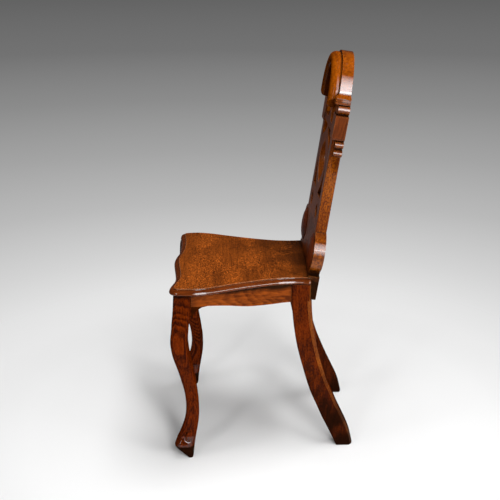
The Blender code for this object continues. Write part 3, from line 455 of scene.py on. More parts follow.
# Dark where little sky is seen: painted shade in corners and under other parts, with some wax and
# dust.
grime_and_shade_mask = times(wear_and_painted_shade, hidden, takes["Grime"])
feed(wear_and_painted_shade, gives["Color"], mix_colour(wear_and_painted_shade, grime_and_shade_mask, worn, NEAR_BLACK))
cloud = noise(wear_and_painted_shade, place, 24.0, 4.0)
smear = node(wear_and_painted_shade, "MapRange", Value=cloud, From_Min=0.3, From_Max=0.7).outputs[0]
gloss_span = minus(wear_and_painted_shade, takes["Gloss High"], takes["Gloss Low"])
gloss = plus(wear_and_painted_shade, takes["Gloss Low"], times(wear_and_painted_shade, smear, gloss_span))
feed(wear_and_painted_shade, gives["Roughness"], plus(wear_and_painted_shade, gloss, times(wear_and_painted_shade, grime_and_shade_mask, 0.25)))
print("age of the polish:", len(wear_and_painted_shade.nodes), "nodes")

# %% [markdown]
# ## Painted shade towards a place, knots and pegs, and dull fronts
#
# A ramp darkens a colour from one place to another, with a cloudy border. Mostly it paints shade:
# the shadow of the back on the rear of the seat, shade under the seat's nose on the tops of the
# rails and front legs, shade under the lobes on the tongue, and shade under the toes. On the rear
# legs it darkens them towards the floor. Knots and the ends of pegs are small round spots with a
# ring, so one more group makes them, and a wide spot paints shade inside the arch. Both take the
# shine away where they darken. Coats and sleeves wear the faces that look forward or back to
# satin, and there the colour is darkened and tinted purple: painted shade with a painted sheen.

# %% A darkening ramp as a group
RAMP_BLACK = (0.008, 0.003, 0.0015, 1)


def darkened(tree, takes, gives, mask, black):
    """Put out the group's colour darkened by a mask, and its coat dulled by it."""
    feed(tree, gives["Color"], mix_colour(tree, mask, takes["Color"], black))
    feed(tree, gives["Coat"], times(tree, minus(tree, 1.0, mask), takes["Coat"]))


# Mostly a ramp of painted shade; on the rear legs it darkens them towards the floor.
darkening, takes, gives = new_group("gathered wax", {
    "Color": PLAIN_OAK, "Clean": None, "Dirty": None, "Depth": 0.5, "Coat": 0.3}, ("Color", "Coat"))
place = node(darkening, "TexCoord").outputs["Object"]
way = vector_node(darkening, "SUBTRACT", takes["Dirty"], takes["Clean"])
gone = vector_node(darkening, "SUBTRACT", place, takes["Clean"])
done = math_node(darkening, "DIVIDE", vector_node(darkening, "DOT_PRODUCT", gone, way),
                 vector_node(darkening, "DOT_PRODUCT", way, way))
done = plus(darkening, done, range_node(darkening, noise(darkening, place, 22.0, 4.0), 0.3, 0.7, -0.22, 0.22))
darkened(darkening, takes, gives, times(darkening, range_node(darkening, done, 0.0, 1.0), takes["Depth"]), RAMP_BLACK)
print("gathered wax:", len(darkening.nodes), "nodes")

# %% Knots, pegs and painted shade as a group
# Knots and pegs, and a wide spot of painted shade inside the arch.
spot, takes, gives = new_group("knot or peg", {
    "Color": PLAIN_OAK, "Place": None, "Radius": 0.003, "Depth": 0.8, "Coat": 0.3},
    ("Color", "Coat"))
either_side = vector_node(spot, "ABSOLUTE", node(spot, "TexCoord").outputs["Object"])
off = vector_node(spot, "DISTANCE", either_side, vector_node(spot, "ABSOLUTE", takes["Place"]))
reach = math_node(spot, "DIVIDE", off, takes["Radius"])
halo = times(spot, range_node(spot, reach, 2.4, 1.7), range_node(spot, reach, 1.2, 1.6))
mark = plus(spot, range_node(spot, reach, 1.0, 0.55), times(spot, halo, 0.45), clamp=True)
darkened(spot, takes, gives, times(spot, mark, takes["Depth"]), NEAR_BLACK)
print("knot or peg:", len(spot.nodes), "nodes")

# %% Dull fronts with painted shade as a group
# Fronts are multiplied by this colour: painted shade, tinted purple as a painted sheen.
FRONT_SHADE = (0.50, 0.32, 0.7, 1)
front_dulling_and_shade, takes, gives = new_group("rubbed front", {
    "Color": PLAIN_OAK, "Roughness": 0.3, "Coat": 0.3, "Dull": 0.62, "Shade": 0.0},
    ("Color", "Roughness", "Coat"))
to_rear = vector_node(front_dulling_and_shade, "DOT_PRODUCT", node(front_dulling_and_shade, "NewGeometry").outputs["Normal"], (0, 1, 0))
facing_front = range_node(front_dulling_and_shade, math_node(front_dulling_and_shade, "ABSOLUTE", to_rear), 0.45, 0.8)
feed(front_dulling_and_shade, gives["Coat"], times(front_dulling_and_shade, minus(front_dulling_and_shade, 1.0, facing_front), takes["Coat"]))
shaded = mix_colour(front_dulling_and_shade, 1.0, takes["Color"], FRONT_SHADE, "MULTIPLY")
in_shade = times(front_dulling_and_shade, facing_front, takes["Shade"])
feed(front_dulling_and_shade, gives["Color"], mix_colour(front_dulling_and_shade, in_shade, takes["Color"], shaded))
feed(front_dulling_and_shade, gives["Roughness"],
     math_node(front_dulling_and_shade, "MAXIMUM", times(front_dulling_and_shade, facing_front, takes["Dull"]), takes["Roughness"]))
print("rubbed front:", len(front_dulling_and_shade.nodes), "nodes")

# %% [markdown]
# ## The finishes
#
# The chair is one timber, but its pieces differ: the back's edges are golden, the legs are redder
# and darker, the seat is sawn on the quarter and shows flecks. Each finish is the same groups with
# its own colours, and its own turn of the log, so that the grain runs along the piece. The polish
# is amber, so the broad shine is tinted. Only the thin clear coat gives white highlights.

# %% One maker for every finish
ALONG_Z = (0.0, 0.0, 0.0)
ALONG_Y = (math.radians(90), 0.0, 0.0)
ALONG_X = (0.0, math.radians(90), 0.0)
UP_THE_BACK = (-BACK_RAKE, 0.0, 0.0)
AMBER = (1.0, 0.55, 0.25)
BUMP_STRENGTH = 0.6


def polished_oak(name, light, dark, turn, heart, rubbed=(0.5, 0.18, 0.045), wear=0.45, grime=0.9,
                 gloss=(0.27, 0.42), coat=0.3, coat_roughness=0.1, bump=0.00018, specular=0.0,
                 tint=AMBER, ring=0.0045, contrast=0.3, waviness=0.012, streaks=0.4, patches=0.35,
                 flecks=0.0, speckle=0.0, unevenness=2.6, clean=None, dirty=None, depth=0.5,
                 dark_spot=None, dark_spot_radius=0.003, dark_spot_depth=0.8, dull=0.5, shade=0.0):
    """Polished oak: grain, a darkening ramp and dark spots, then wear and painted shade, then one
    shader with a clear coat.
    """
    material = bpy.data.materials.new(name)
    material.use_nodes = True
    tree = material.node_tree
    figure = placed(tree, grain, Turn=turn, Heart=heart, Light=(*light, 1), Dark=(*dark, 1),
                    Ring_Width=ring, Ring_Contrast=contrast, Waviness=waviness, Streaks=streaks,
                    Patches=patches, Flecks=flecks, Speckle=speckle, Unevenness=unevenness)
    bumps = node(tree, "Bump", Strength=BUMP_STRENGTH, Distance=bump, Height=figure["Height"])
    layer = {"Color": figure["Color"], "Coat": coat}
    if clean:
        layer = placed(tree, darkening, Color=layer["Color"], Coat=layer["Coat"], Clean=clean,
                       Dirty=dirty, Depth=depth)
    if dark_spot:
        layer = placed(tree, spot, Color=layer["Color"], Coat=layer["Coat"], Place=dark_spot,
                       Radius=dark_spot_radius, Depth=dark_spot_depth)
    skin = placed(tree, wear_and_painted_shade, Color=layer["Color"], Rubbed=(*rubbed, 1), Wear=wear, Grime=grime,
                  Gloss_Low=gloss[0], Gloss_High=gloss[1])
    fronts = placed(tree, front_dulling_and_shade, Color=skin["Color"], Roughness=skin["Roughness"], Coat=layer["Coat"],
                    Dull=dull, Shade=shade)
    for label, value in (("Base Color", fronts["Color"]), ("Roughness", fronts["Roughness"]),
                         ("Coat Weight", fronts["Coat"]), ("Normal", bumps.outputs[0]),
                         ("Coat Roughness", coat_roughness), ("Specular IOR Level", specular),
                         ("Specular Tint", (*tint, 1))):
        feed(tree, tree.nodes["Principled BSDF"].inputs[label], value)
    return material


print("one maker, for every piece of oak")

# %% Finishes of the back
# The back's finishes darken and tint their fronts by their shade: painted shade with a painted
# sheen.
ON_BACK = dict(turn=UP_THE_BACK, heart=(-0.3, 0.2, 0), ring=0.0035)
ON_SPLAT = dict(turn=UP_THE_BACK, heart=(0.03, 0.1, 0), specular=0.05)
ARCH_GOLD = ((0.27, 0.060, 0.0015), (0.10, 0.018, 0.0008))
# The wide dark spot in the arch paints shade inside it and takes its coat away.
ON_ARCH = dict(turn=ALONG_X, heart=(0, 0.35, 0.6), gloss=(0.12, 0.2), streaks=0.5,
               rubbed=(0.4, 0.11, 0.01), dark_spot=(0, 0.1773, 0.8331), dark_spot_radius=0.092,
               dark_spot_depth=1.0)
# Darker below the seat's level: painted shade under the lobes and on the tongue.
back_oak = polished_oak(
    "golden oak of the back", (0.36, 0.090, 0.005), (0.09, 0.016, 0.001), **ON_BACK, streaks=0.3,
    patches=0.5, speckle=0.6, specular=0.05, tint=(1.0, 0.5, 0.15), coat=0.6, coat_roughness=0.11,
    gloss=(0.22, 0.34), clean=(0, 0, 0.452), dirty=(0, 0, 0.415), depth=0.95, shade=0.6)
stile_oak = polished_oak(
    "golden oak of the stiles", (0.44, 0.108, 0.003), (0.11, 0.018, 0.001), **ON_BACK, streaks=0.35,
    patches=0.5, speckle=0.7, specular=0.05, tint=(1.0, 0.5, 0.1), coat=0.25, coat_roughness=0.12,
    gloss=(0.24, 0.36), dark_spot=(0.111, 0.1451, 0.6848), dark_spot_radius=0.0022, shade=0.7)
# The necks' darker colour is painted shade.
shaded_neck_oak = polished_oak(
    "painted shade on the necks", (0.17, 0.034, 0.005), (0.06, 0.011, 0.002), **ON_BACK, contrast=0.35,
    specular=0.15, tint=(1.0, 0.5, 0.15), coat_roughness=0.07, gloss=(0.14, 0.24))
crest_oak = polished_oak("golden oak of the crest", *ARCH_GOLD, **ON_ARCH, specular=0.05,
                         tint=(1.0, 0.5, 0.1), coat=1.0, coat_roughness=0.08)
hood_oak = polished_oak("golden oak of the hood", *ARCH_GOLD, **ON_ARCH, coat=0.35,
                        coat_roughness=0.12)
# The volutes' darker colour is painted shade.
dark_oak = polished_oak(
    "shaded oak of the splat", (0.24, 0.050, 0.008), (0.045, 0.009, 0.002), **ON_SPLAT, coat=0.2,
    rubbed=(0.34, 0.11, 0.05), wear=0.7, shade=0.6)
splat_oak = polished_oak(
    "oak of the splat", (0.26, 0.060, 0.006), (0.08, 0.016, 0.002), **ON_SPLAT, coat=0.6,
    coat_roughness=0.08, rubbed=(0.60, 0.26, 0.12), wear=0.9, shade=0.55)
print("finishes of the back:", len(bpy.data.materials))

# %% Finishes of the seat and its frame
ON_SEAT = dict(turn=ALONG_Y, heart=(-0.3, 0, 0.36))
# Darker towards the back, on a slant: a painted shadow of the back on the seat.
seat_oak = polished_oak(
    "quartered oak of the seat", (0.23, 0.052, 0.0058), (0.055, 0.011, 0.0015), ALONG_X,
    (0, -0.7, 0.40), ring=0.005, contrast=0.20, streaks=0.30, patches=0.30, flecks=0.90,
    speckle=0.34, gloss=(0.34, 0.5), specular=0.2, coat=0.08, wear=0.3, rubbed=(0.45, 0.15, 0.05),
    clean=(0.06, -0.02, 0.43), dirty=(-0.02, 0.16, 0.43), depth=0.75)
moulding_oak = polished_oak(
    "dark oak of the seat's moulding", (0.15, 0.030, 0.004), (0.05, 0.008, 0.001), **ON_SEAT,
    ring=0.005, specular=0.1, coat=0.62, coat_roughness=0.06, gloss=(0.2, 0.3), grime=1.0, wear=0.3)
# A pale ring on the seat's arris: a painted highlight.
arris_highlight_oak = polished_oak(
    "painted highlight on the seat's arris", (0.46, 0.20, 0.09), (0.22, 0.07, 0.03), **ON_SEAT, specular=0.3,
    coat=0.2, grime=0.6, wear=0.2, speckle=0.4)
# Near black under the seat's nose and under the toes: painted shade.
underside_shade_oak = polished_oak(
    "painted shade under the seat and the toes", (0.020, 0.006, 0.002), (0.008, 0.002, 0.001), **ON_SEAT,
    coat=0.0, gloss=(0.6, 0.8), grime=0.7, rubbed=(0.03, 0.01, 0.004))
# On the brackets and on the hood's inner side: painted shade.
shadow_oak = polished_oak(
    "painted shade on the brackets and in the hood", (0.055, 0.010, 0.001), (0.015, 0.003, 0.0005), **ON_SEAT, coat=0.0,
    gloss=(0.45, 0.6), rubbed=(0.12, 0.02, 0.003), grime=1.0)
# Darker at the top of the rails: painted shade under the seat's nose.
rail_oak = polished_oak(
    "red oak of the rails", (0.33, 0.068, 0.007), (0.09, 0.015, 0.002), **ON_SEAT, ring=0.003,
    contrast=0.45, waviness=0.02, streaks=0.5, specular=0.1, coat=0.08, grime=1.0,
    clean=(0, 0, 0.396), dirty=(0, 0, 0.408), depth=0.95, dark_spot=(0.182, 0.0094, 0.3834),
    dark_spot_radius=0.0035)
raw_oak = polished_oak(
    "raw oak inside", (0.42, 0.26, 0.13), (0.24, 0.13, 0.06), ALONG_Y, (0.05, 0, 0.3), grime=0.7,
    rubbed=(0.48, 0.32, 0.18), gloss=(0.6, 0.8), coat=0.0, bump=0.0004, specular=0.2)
print("finishes so far:", len(bpy.data.materials))

# %% Finishes of the legs
ON_FRONT_LEG = dict(turn=ALONG_Z, heart=(-0.3, -0.19, 0), streaks=0.3, speckle=0.3)
ON_REAR_LEG = dict(turn=ALONG_Z, heart=(-0.3, 0.1, 0), ring=0.003)
# Darker at the top of the legs: painted shade under the seat's nose.
front_leg_oak = polished_oak(
    "red oak of the front legs", (0.17, 0.022, 0.001), (0.024, 0.003, 0.0004), **ON_FRONT_LEG,
    ring=0.0022, contrast=0.6, waviness=0.006, patches=0.25, unevenness=1.3,
    rubbed=(0.22, 0.045, 0.006), coat=0.07, coat_roughness=0.2, gloss=(0.42, 0.58),
    clean=(0, 0, 0.397), dirty=(0, 0, 0.409), depth=0.9)
# Darker at the bottom of the toe: painted shade under the toe.
foot_oak = polished_oak(
    "bright oak of the toes", (0.16, 0.022, 0.001), (0.03, 0.004, 0.0004), **ON_FRONT_LEG,
    ring=0.0026, contrast=0.4, rubbed=(0.3, 0.08, 0.02), wear=0.9, coat=0.9, coat_roughness=0.07,
    grime=0.6, clean=(0, 0, 0.034), dirty=(0, 0, 0.026), depth=0.9)
# The rear legs and their chamfers are darker towards the floor.
rear_leg_oak = polished_oak(
    "red oak of the rear legs", (0.16, 0.022, 0.001), (0.036, 0.005, 0.0006), **ON_REAR_LEG,
    contrast=0.42, rubbed=(0.36, 0.08, 0.008), wear=0.8, coat=0.1, coat_roughness=0.25,
    gloss=(0.42, 0.58), clean=(0, 0, 0.26), dirty=(0, 0, -0.02), depth=0.95, speckle=0.4)
# A paler copy of the rear legs' oak for their chamfers: painted light.
lit_chamfer_oak = polished_oak(
    "rubbed chamfer of the rear legs", (0.34, 0.085, 0.006), (0.10, 0.018, 0.002), **ON_REAR_LEG,
    contrast=0.4, specular=0.15, tint=(1.0, 0.5, 0.2), coat=0.15, clean=(0, 0, 0.24),
    dirty=(0, 0, 0.0), depth=0.9, speckle=0.5, dull=0.4)
print("finishes:", len(bpy.data.materials))

# %% [markdown]
# ## The seat board
#
# The seat is one wide board. Its plan was sawn by eye: the front swells in the middle, and the near
# corner runs further forward than the far one. A thumbnail moulding runs round the front and the
# sides. It is made as a stack of rings that all follow the plan, each set in by its own share.

# %% The seat's plan and its moulding
SEAT_HALF = 0.206
SEAT_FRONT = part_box("seat_board")[0].y
SEAT_DEPTH = SEAT_REAR - SEAT_FRONT
SEAT_THICKNESS = 0.016
EDGE_PROUD = 0.0115
# Share of the half width, share of the depth from the front
NEAR_PLAN_SHARES = (
    (0.000, 0.000), (0.120, 0.003), (0.240, 0.010), (0.400, 0.020), (0.540, 0.026), (0.660, 0.021),
    (0.760, 0.006), (0.840, -0.006), (0.905, -0.0095), (0.955, -0.003), (0.990, 0.014),
    (1.010, 0.045), (1.018, 0.100), (1.018, 0.180), (0.980, 0.280), (0.910, 0.390), (0.830, 0.520),
    (0.760, 0.650), (0.708, 0.770), (0.690, 0.870), (0.692, 0.945), (0.699, 0.990), (0.694, 1.000),
)
FAR_PLAN_SHARES = (
    (0.000, 0.000), (0.120, 0.008), (0.240, 0.024), (0.380, 0.034), (0.560, 0.036), (0.760, 0.031),
    (0.880, 0.022), (0.960, 0.026), (1.000, 0.054), (1.016, 0.110), (1.018, 0.180), (0.980, 0.280),
    (0.910, 0.390), (0.830, 0.520), (0.760, 0.650), (0.708, 0.770), (0.690, 0.870), (0.692, 0.945),
    (0.699, 0.990), (0.694, 1.000),
)
# Share of the proud edge set in, share of the thickness down
MOULDING_SHARES = (
    (1.24, 0.000), (1.14, 0.000), (1.10, 0.020), (1.06, 0.000), (1.02, -0.015), (0.985, 0.000),
    (0.970, 0.050), (0.960, 0.120), (0.935, 0.165), (0.88, 0.172), (0.76, 0.180), (0.62, 0.195),
    (0.48, 0.215), (0.34, 0.250), (0.24, 0.310), (0.15, 0.375), (0.100, 0.440), (0.065, 0.505),
    (0.030, 0.570), (0.006, 0.640), (0.00, 0.700), (0.05, 0.770), (0.13, 0.812), (0.24, 0.835),
    (0.42, 0.845), (0.66, 0.855), (0.80, 0.870), (0.86, 0.900), (0.87, 1.000),
)
ARRIS_SHARES = (1.05, 0.980)
UNDERSIDE_SHARE = 0.10
TOP_SHARES = (0.02, 0.3, 0.6, 0.85)
TOP_FINISH, ARRIS_FINISH, UNDER_FINISH = 0, 2, 3
NOSE_SPACING = 0.0018


def seat_curve():
    """The nose of the seat, from its far rear corner round the front to the near one."""
    near = [(x * SEAT_HALF, SEAT_FRONT + y * SEAT_DEPTH) for x, y in NEAR_PLAN_SHARES]
    far = [(-x * SEAT_HALF, SEAT_FRONT + y * SEAT_DEPTH) for x, y in reversed(FAR_PLAN_SHARES[1:])]
    return spaced(through(far + near, 8), NOSE_SPACING)


def set_in(curve, distance):
    """The curve moved to its left. Its ends stay on the seat's rear edge."""
    along = np.gradient(curve, axis=0)
    along /= np.linalg.norm(along, axis=1)[:, None]
    moved = curve + np.column_stack([-along[:, 1], along[:, 0]]) * distance
    moved[0, 1], moved[-1, 1] = curve[0, 1], curve[-1, 1]
    return moved


nose = seat_curve()
print("the nose:", len(nose), "points")

# %% Stack the seat's rings
moulding = through(MOULDING_SHARES, 2)
middle = np.array([0.0, (SEAT_FRONT + SEAT_REAR) / 2])
top_edge = set_in(nose, MOULDING_SHARES[0][0] * EDGE_PROUD)
seat_rings = [at_height(middle + (top_edge - middle) * share, SEAT_LEVEL) for share in TOP_SHARES]
seat_rings += [at_height(set_in(nose, inward * EDGE_PROUD), SEAT_LEVEL - down * SEAT_THICKNESS)
               for inward, down in moulding]
seat_verts, seat_faces = loft(seat_rings)
print("the seat:", len(seat_rings), "rings")

# %% Finish the seat ring by ring
# The arris takes a pale finish, a painted highlight, and the moulding's underside a near-black one,
# painted shade.
ring_shares = [ARRIS_SHARES[0] + 1] * len(TOP_SHARES) + [inward for inward, down in moulding]
seat_finishes = []
past_top = under = False
for before, share in zip(ring_shares, ring_shares[1:]):
    past_top = past_top or before < ARRIS_SHARES[1]
    under = under or past_top and share > before and share > UNDERSIDE_SHARE
    on_arris = not past_top and before <= ARRIS_SHARES[0]
    finish = UNDER_FINISH if under else ARRIS_FINISH if on_arris else int(past_top)
    seat_finishes += [finish] * len(nose)
seat = add_piece("seat_board_moulded", seat_verts, seat_faces,
                 [seat_oak, moulding_oak, arris_highlight_oak, underside_shade_oak], "seat_oak", ("seat_board",),
                 seat_finishes + [TOP_FINISH, UNDER_FINISH])
print("seat:", len(seat.data.polygons), "faces")

# %% [markdown]
# ## The front legs
#
# A cabriole leg is sawn to an S on two faces of a square post, then rounded with a spokeshave:
# square where the rails enter, nearly round at the ankle. Each cross section here is a
# superellipse, which goes from square to round with one number. The foot is carved afterwards, by
# pressing a scroll groove into the finished surface, as a gouge would.

# %% The cabriole leg
FRAME_TOP = SEAT_LEVEL - SEAT_THICKNESS - GAP
LEG_BLOCK = 0.038
FRONT_BLOCK_OUTER = 0.187
FRONT_BLOCK_Y = -0.2065
CABRIOLE_SWEEP = 0.040
CABRIOLE_SPREAD = 0.020
# Share of the height, then front, rear, outer and inner edges from the block, then the squareness
CABRIOLE_SHARES = (
    (0.000, -0.640, 0.010, 0.900, -1.400, 2.9), (0.012, -0.510, 0.030, 0.980, -1.350, 2.7),
    (0.032, -0.270, 0.055, 1.080, -1.250, 2.5), (0.052, -0.040, 0.080, 1.170, -1.200, 2.3),
    (0.066, 0.090, 0.095, 1.230, -1.200, 2.2), (0.076, 0.125, 0.108, 1.250, -1.200, 2.2),
    (0.086, 0.100, 0.120, 1.230, -1.200, 2.2), (0.102, 0.040, 0.145, 1.130, -1.250, 2.3),
    (0.128, -0.060, 0.190, 1.000, -1.350, 2.5), (0.145, -0.150, 0.220, 0.950, -1.380, 2.6),
    (0.160, -0.210, 0.245, 0.920, -1.400, 2.6),
    (0.200, -0.375, 0.320, 0.850, -1.450, 2.6), (0.250, -0.520, 0.385, 0.800, -1.500, 2.6),
    (0.300, -0.585, 0.400, 0.750, -1.450, 2.6), (0.355, -0.575, 0.380, 0.650, -1.250, 2.7),
    (0.410, -0.495, 0.320, 0.550, -1.000, 2.9), (0.470, -0.340, 0.235, 0.500, -0.750, 3.1),
    (0.540, -0.130, 0.115, 0.500, -0.550, 3.4), (0.610, 0.100, -0.040, 0.600, -0.400, 3.7),
    (0.665, 0.212, -0.140, 0.650, -0.250, 4.0), (0.715, 0.250, -0.180, 0.650, -0.180, 4.4),
    (0.780, 0.180, -0.135, 0.580, -0.100, 5.2), (0.840, 0.125, -0.060, 0.430, -0.050, 7.0),
    (0.890, 0.070, -0.010, 0.240, -0.010, 10.0), (1.000, 0.000, 0.000, 0.000, 0.000, 14.0),
)
LEG_SIDES = 96


def superellipse(low_x, high_x, low_y, high_y, squareness):
    """A closed section between four edges, from round at 2 to square at 14."""
    angles = np.linspace(0, 2 * math.pi, LEG_SIDES, endpoint=False)
    cos, sin = np.cos(angles), np.sin(angles)
    power = 2 / squareness
    x = np.sign(cos) * np.abs(cos) ** power
    y = np.sign(sin) * np.abs(sin) ** power
    return np.column_stack([
        (low_x + high_x) / 2 + x * (high_x - low_x) / 2,
        (low_y + high_y) / 2 + y * (high_y - low_y) / 2,
    ])


print("sections of a leg:", len(CABRIOLE_SHARES))

# %% The scroll carved on a foot
# Grooves on the side of the foot: distance to the rear and height, both in metres
SCROLL_PATH = (
    (-0.1965, 0.0790), (-0.1900, 0.0745), (-0.1830, 0.0735), (-0.1775, 0.0725), (-0.1735, 0.0670),
)
EYE_PATH = (
    (-0.1755, 0.0690), (-0.1810, 0.0680), (-0.1850, 0.0625), (-0.1858, 0.0555), (-0.1838, 0.0490),
    (-0.1790, 0.0455), (-0.1745, 0.0460),
)
GROOVES = ((SCROLL_PATH, 0.0016, 0.0013), (EYE_PATH, 0.0034, 0.0018))
# The swell of the toe in front of the scroll: place, height and width
TOE_SWELL = ((-0.1990, 0.0390), 0.0030, 0.0065)


def carve(points, grooves):
    """How deep a gouge goes at each point of (y, z), for grooves of a path, a depth and a width."""
    swell_place, swell_height, swell_width = TOE_SWELL
    from_swell = np.linalg.norm(points - swell_place, axis=1)
    total = -swell_height * np.exp(-(from_swell / swell_width) ** 2)
    for path, depth, width in grooves:
        path = through(path, 8)
        gaps = np.linalg.norm(points[:, None, :] - path[None, :, :], axis=2).min(axis=1)
        gouge = np.maximum(total, depth * np.exp(-(gaps / width) ** 2))
        total = np.where(gaps < width * 2, gouge, total)
    return total


print("grooves on a foot:", len(GROOVES))

# %% Make the front legs
SOLE_HEIGHT = 0.031
TOE_HEIGHT = 0.056
# Shares of the leg's height: where the close rows of the foot end, and how close they are
FOOT_TOP = 0.16
FOOT_ROW = 0.0028
LEG_ROWS = 112


def cabriole_leg(side):
    """Rings of one leg, carved at its foot on the outer face."""
    shares = through(CABRIOLE_SHARES, 12)
    heights = np.concatenate([np.arange(0, FOOT_TOP, FOOT_ROW), np.linspace(FOOT_TOP, 1, LEG_ROWS)])
    columns = [np.interp(heights, shares[:, 0], shares[:, i]) for i in range(1, 6)]
    rings = []
    for height, front, rear, outer, inner, squareness in zip(heights, *columns):
        ring = superellipse(
            FRONT_BLOCK_OUTER - LEG_BLOCK - inner * CABRIOLE_SPREAD,
            FRONT_BLOCK_OUTER + outer * CABRIOLE_SPREAD,
            FRONT_BLOCK_Y - front * CABRIOLE_SWEEP,
            FRONT_BLOCK_Y + LEG_BLOCK + rear * CABRIOLE_SWEEP,
            squareness)
        centre = ring.mean(axis=0)
        z = np.full(len(ring), height * FRAME_TOP)
        outward = (ring - centre) / np.linalg.norm(ring - centre, axis=1)[:, None]
        facing = np.clip((ring[:, 0] - centre[0]) / np.ptp(ring[:, 0]) * 4, 0, 1)
        gouge = carve(np.column_stack([ring[:, 1], z]), GROOVES) * facing
        ring = ring - outward * gouge[:, None]
        rings.append(at_height(ring * (side, 1), height * FRAME_TOP))
    return rings


# The toe takes the glossy finish, and the sole and the end under it the near-black one: painted
# shade.
for word, side in SIDES:
    leg_rings = cabriole_leg(side)
    in_foot = [int(ring[0, 2] < TOE_HEIGHT) + int(ring[0, 2] < SOLE_HEIGHT)
               for ring in leg_rings[:-1] for corner in ring]
    leg = add_piece(f"front_leg_{word}_carved", *loft(leg_rings),
                    [front_leg_oak, foot_oak, underside_shade_oak], "oak", (f"front_leg_{word}",),
                    in_foot + [2, 0])
print("front leg:", len(leg.data.polygons), "faces")

# %% [markdown]
# ## The rear legs
#
# Sabre legs sweep back to stop the chair tipping. The outer rear arris has a wide chamfer, which
# catches the light all the way down, and its finish is paler: painted light. A corner that is
# rounded or cut is easy to follow as the leg narrows, so the section is a polygon with its own
# radius at each corner.

# %% The sabre leg
REAR_LEG_OUTER = 0.136
REAR_LEG_WIDTH = 0.034
REAR_LEG_REAR = SEAT_REAR + 0.004
REAR_LEG_FRONT = REAR_LEG_REAR - 0.047
SABRE_SWEEP = 0.104
SABRE_SPREAD = 0.018
CHAMFER_LOW = 0.005
CHAMFER_HIGH = 0.0115
ARRIS = 0.002
TONGUE_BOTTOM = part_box("back_panel")[0].z
TOE_ROUND = 0.004
TOE_ROUND_SHARE = 0.016
# Share of the height, front and rear edges swept back, outward splay
SABRE_SHARES = (
    (0.000, 1.065, 0.998, 1.00), (0.024, 1.025, 0.985, 0.97), (0.075, 0.932, 0.934, 0.90),
    (0.130, 0.825, 0.852, 0.82), (0.190, 0.710, 0.742, 0.73), (0.255, 0.600, 0.622, 0.64),
    (0.330, 0.470, 0.496, 0.53), (0.410, 0.362, 0.368, 0.42), (0.500, 0.260, 0.254, 0.31),
    (0.600, 0.155, 0.150, 0.20), (0.700, 0.080, 0.078, 0.12), (0.800, 0.035, 0.024, 0.05),
    (0.900, 0.000, 0.000, 0.00), (1.000, 0.000, 0.000, 0.00),
)


def softened(corners, radii, steps=4):
    """A polygon with each corner turned into a curve that starts at its own distance from it."""
    corners = np.asarray(corners, dtype=float)
    made = []
    for index, (corner, radius) in enumerate(zip(corners, radii)):
        before, after = corners[index - 1], corners[(index + 1) % len(corners)]
        start = corner + (before - corner) / np.linalg.norm(before - corner) * radius
        end = corner + (after - corner) / np.linalg.norm(after - corner) * radius
        for t in np.linspace(0, 1, steps + 1):
            made.append((1 - t) ** 2 * start + 2 * t * (1 - t) * corner + t * t * end)
    return np.array(made)


print("sections of a rear leg:", len(SABRE_SHARES))

# %% Make the rear legs
LEG_ARRISES = (ARRIS, 0.003, 0.0014, 0.0014, ARRIS)
CHAMFER_POINTS = range(12, 17)  # the points of a ring that lie on its chamfer


def sabre_leg(side):
    """Rings of one rear leg. Its rear is housed at the top, where the back's tongue stands."""
    shares = through(SABRE_SHARES, 10)
    tongue = (TONGUE_BOTTOM - GAP) / FRAME_TOP
    extra_rows = [0.004, 0.010, tongue, tongue + 1e-4]
    heights = np.sort(np.concatenate([np.linspace(0, 1, 110), extra_rows]))
    columns = [np.interp(heights, shares[:, 0], shares[:, i]) for i in range(1, 4)]
    rings = []
    for height, front, rear, splay in zip(heights, *columns):
        toe_round = TOE_ROUND * max(0.0, 1 - height / TOE_ROUND_SHARE) ** 2
        front_y = REAR_LEG_FRONT + front * SABRE_SWEEP
        rear_y = REAR_LEG_REAR + rear * SABRE_SWEEP - toe_round
        chamfer = CHAMFER_LOW + (CHAMFER_HIGH - CHAMFER_LOW) * height
        if height > tongue:
            rear_y, chamfer = SEAT_REAR, ARRIS
        outer = REAR_LEG_OUTER + splay * SABRE_SPREAD
        inner = outer - REAR_LEG_WIDTH
        corners = ((inner, front_y), (outer, front_y), (outer, rear_y - chamfer),
                   (outer - chamfer, rear_y), (inner, rear_y))
        ring = softened(corners, LEG_ARRISES)
        rings.append(at_height(ring * (side, 1), height * FRAME_TOP))
    return rings


for word, side in SIDES:
    leg_rings = sabre_leg(side)
    on_chamfer = [int(i in CHAMFER_POINTS) for ring in leg_rings[:-1] for i in range(len(ring))]
    leg = add_piece(f"rear_leg_{word}_shaved", *loft(leg_rings), [rear_leg_oak, lit_chamfer_oak], "oak",
                    (f"rear_leg_{word}",), on_chamfer + [0, 0])
print("rear leg:", len(leg.data.polygons), "faces")

# %% [markdown]
# ## Rails, brackets and hidden pieces
#
# These pieces have the right shape already, so their solids stay. A bevel modifier softens the sawn
# arrises without touching the mesh, and the finishes replace the plain colours.

# %% Dress the pieces that stay
def keep(name, material, ease=0.0012):
    """Give a solid of the frame its finish, and ease its arrises."""
    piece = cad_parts[name]
    if not piece.material_slots:
        piece.data.materials.append(material)
    for slot in piece.material_slots:
        slot.link = "OBJECT"
        slot.material = material
    return eased(piece, ease, 3, "ANGLE")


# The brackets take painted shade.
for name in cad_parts:
    if "rail" in name and name != "rear_rail":
        keep(name, rail_oak)
    elif "bracket" in name:
        keep(name, shadow_oak)
    elif "corner_block" in name or "dowel" in name or name == "rear_rail":
        keep(name, raw_oak, 0.0006)
print("pieces that stay:", sum(not node.hide_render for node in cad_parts.values()))

# %% [markdown]
# ## Screws
#
# The screws are old iron, dark brown with a little rust. They need no wood groups: two noises mix
# the colours and roughen the metal.

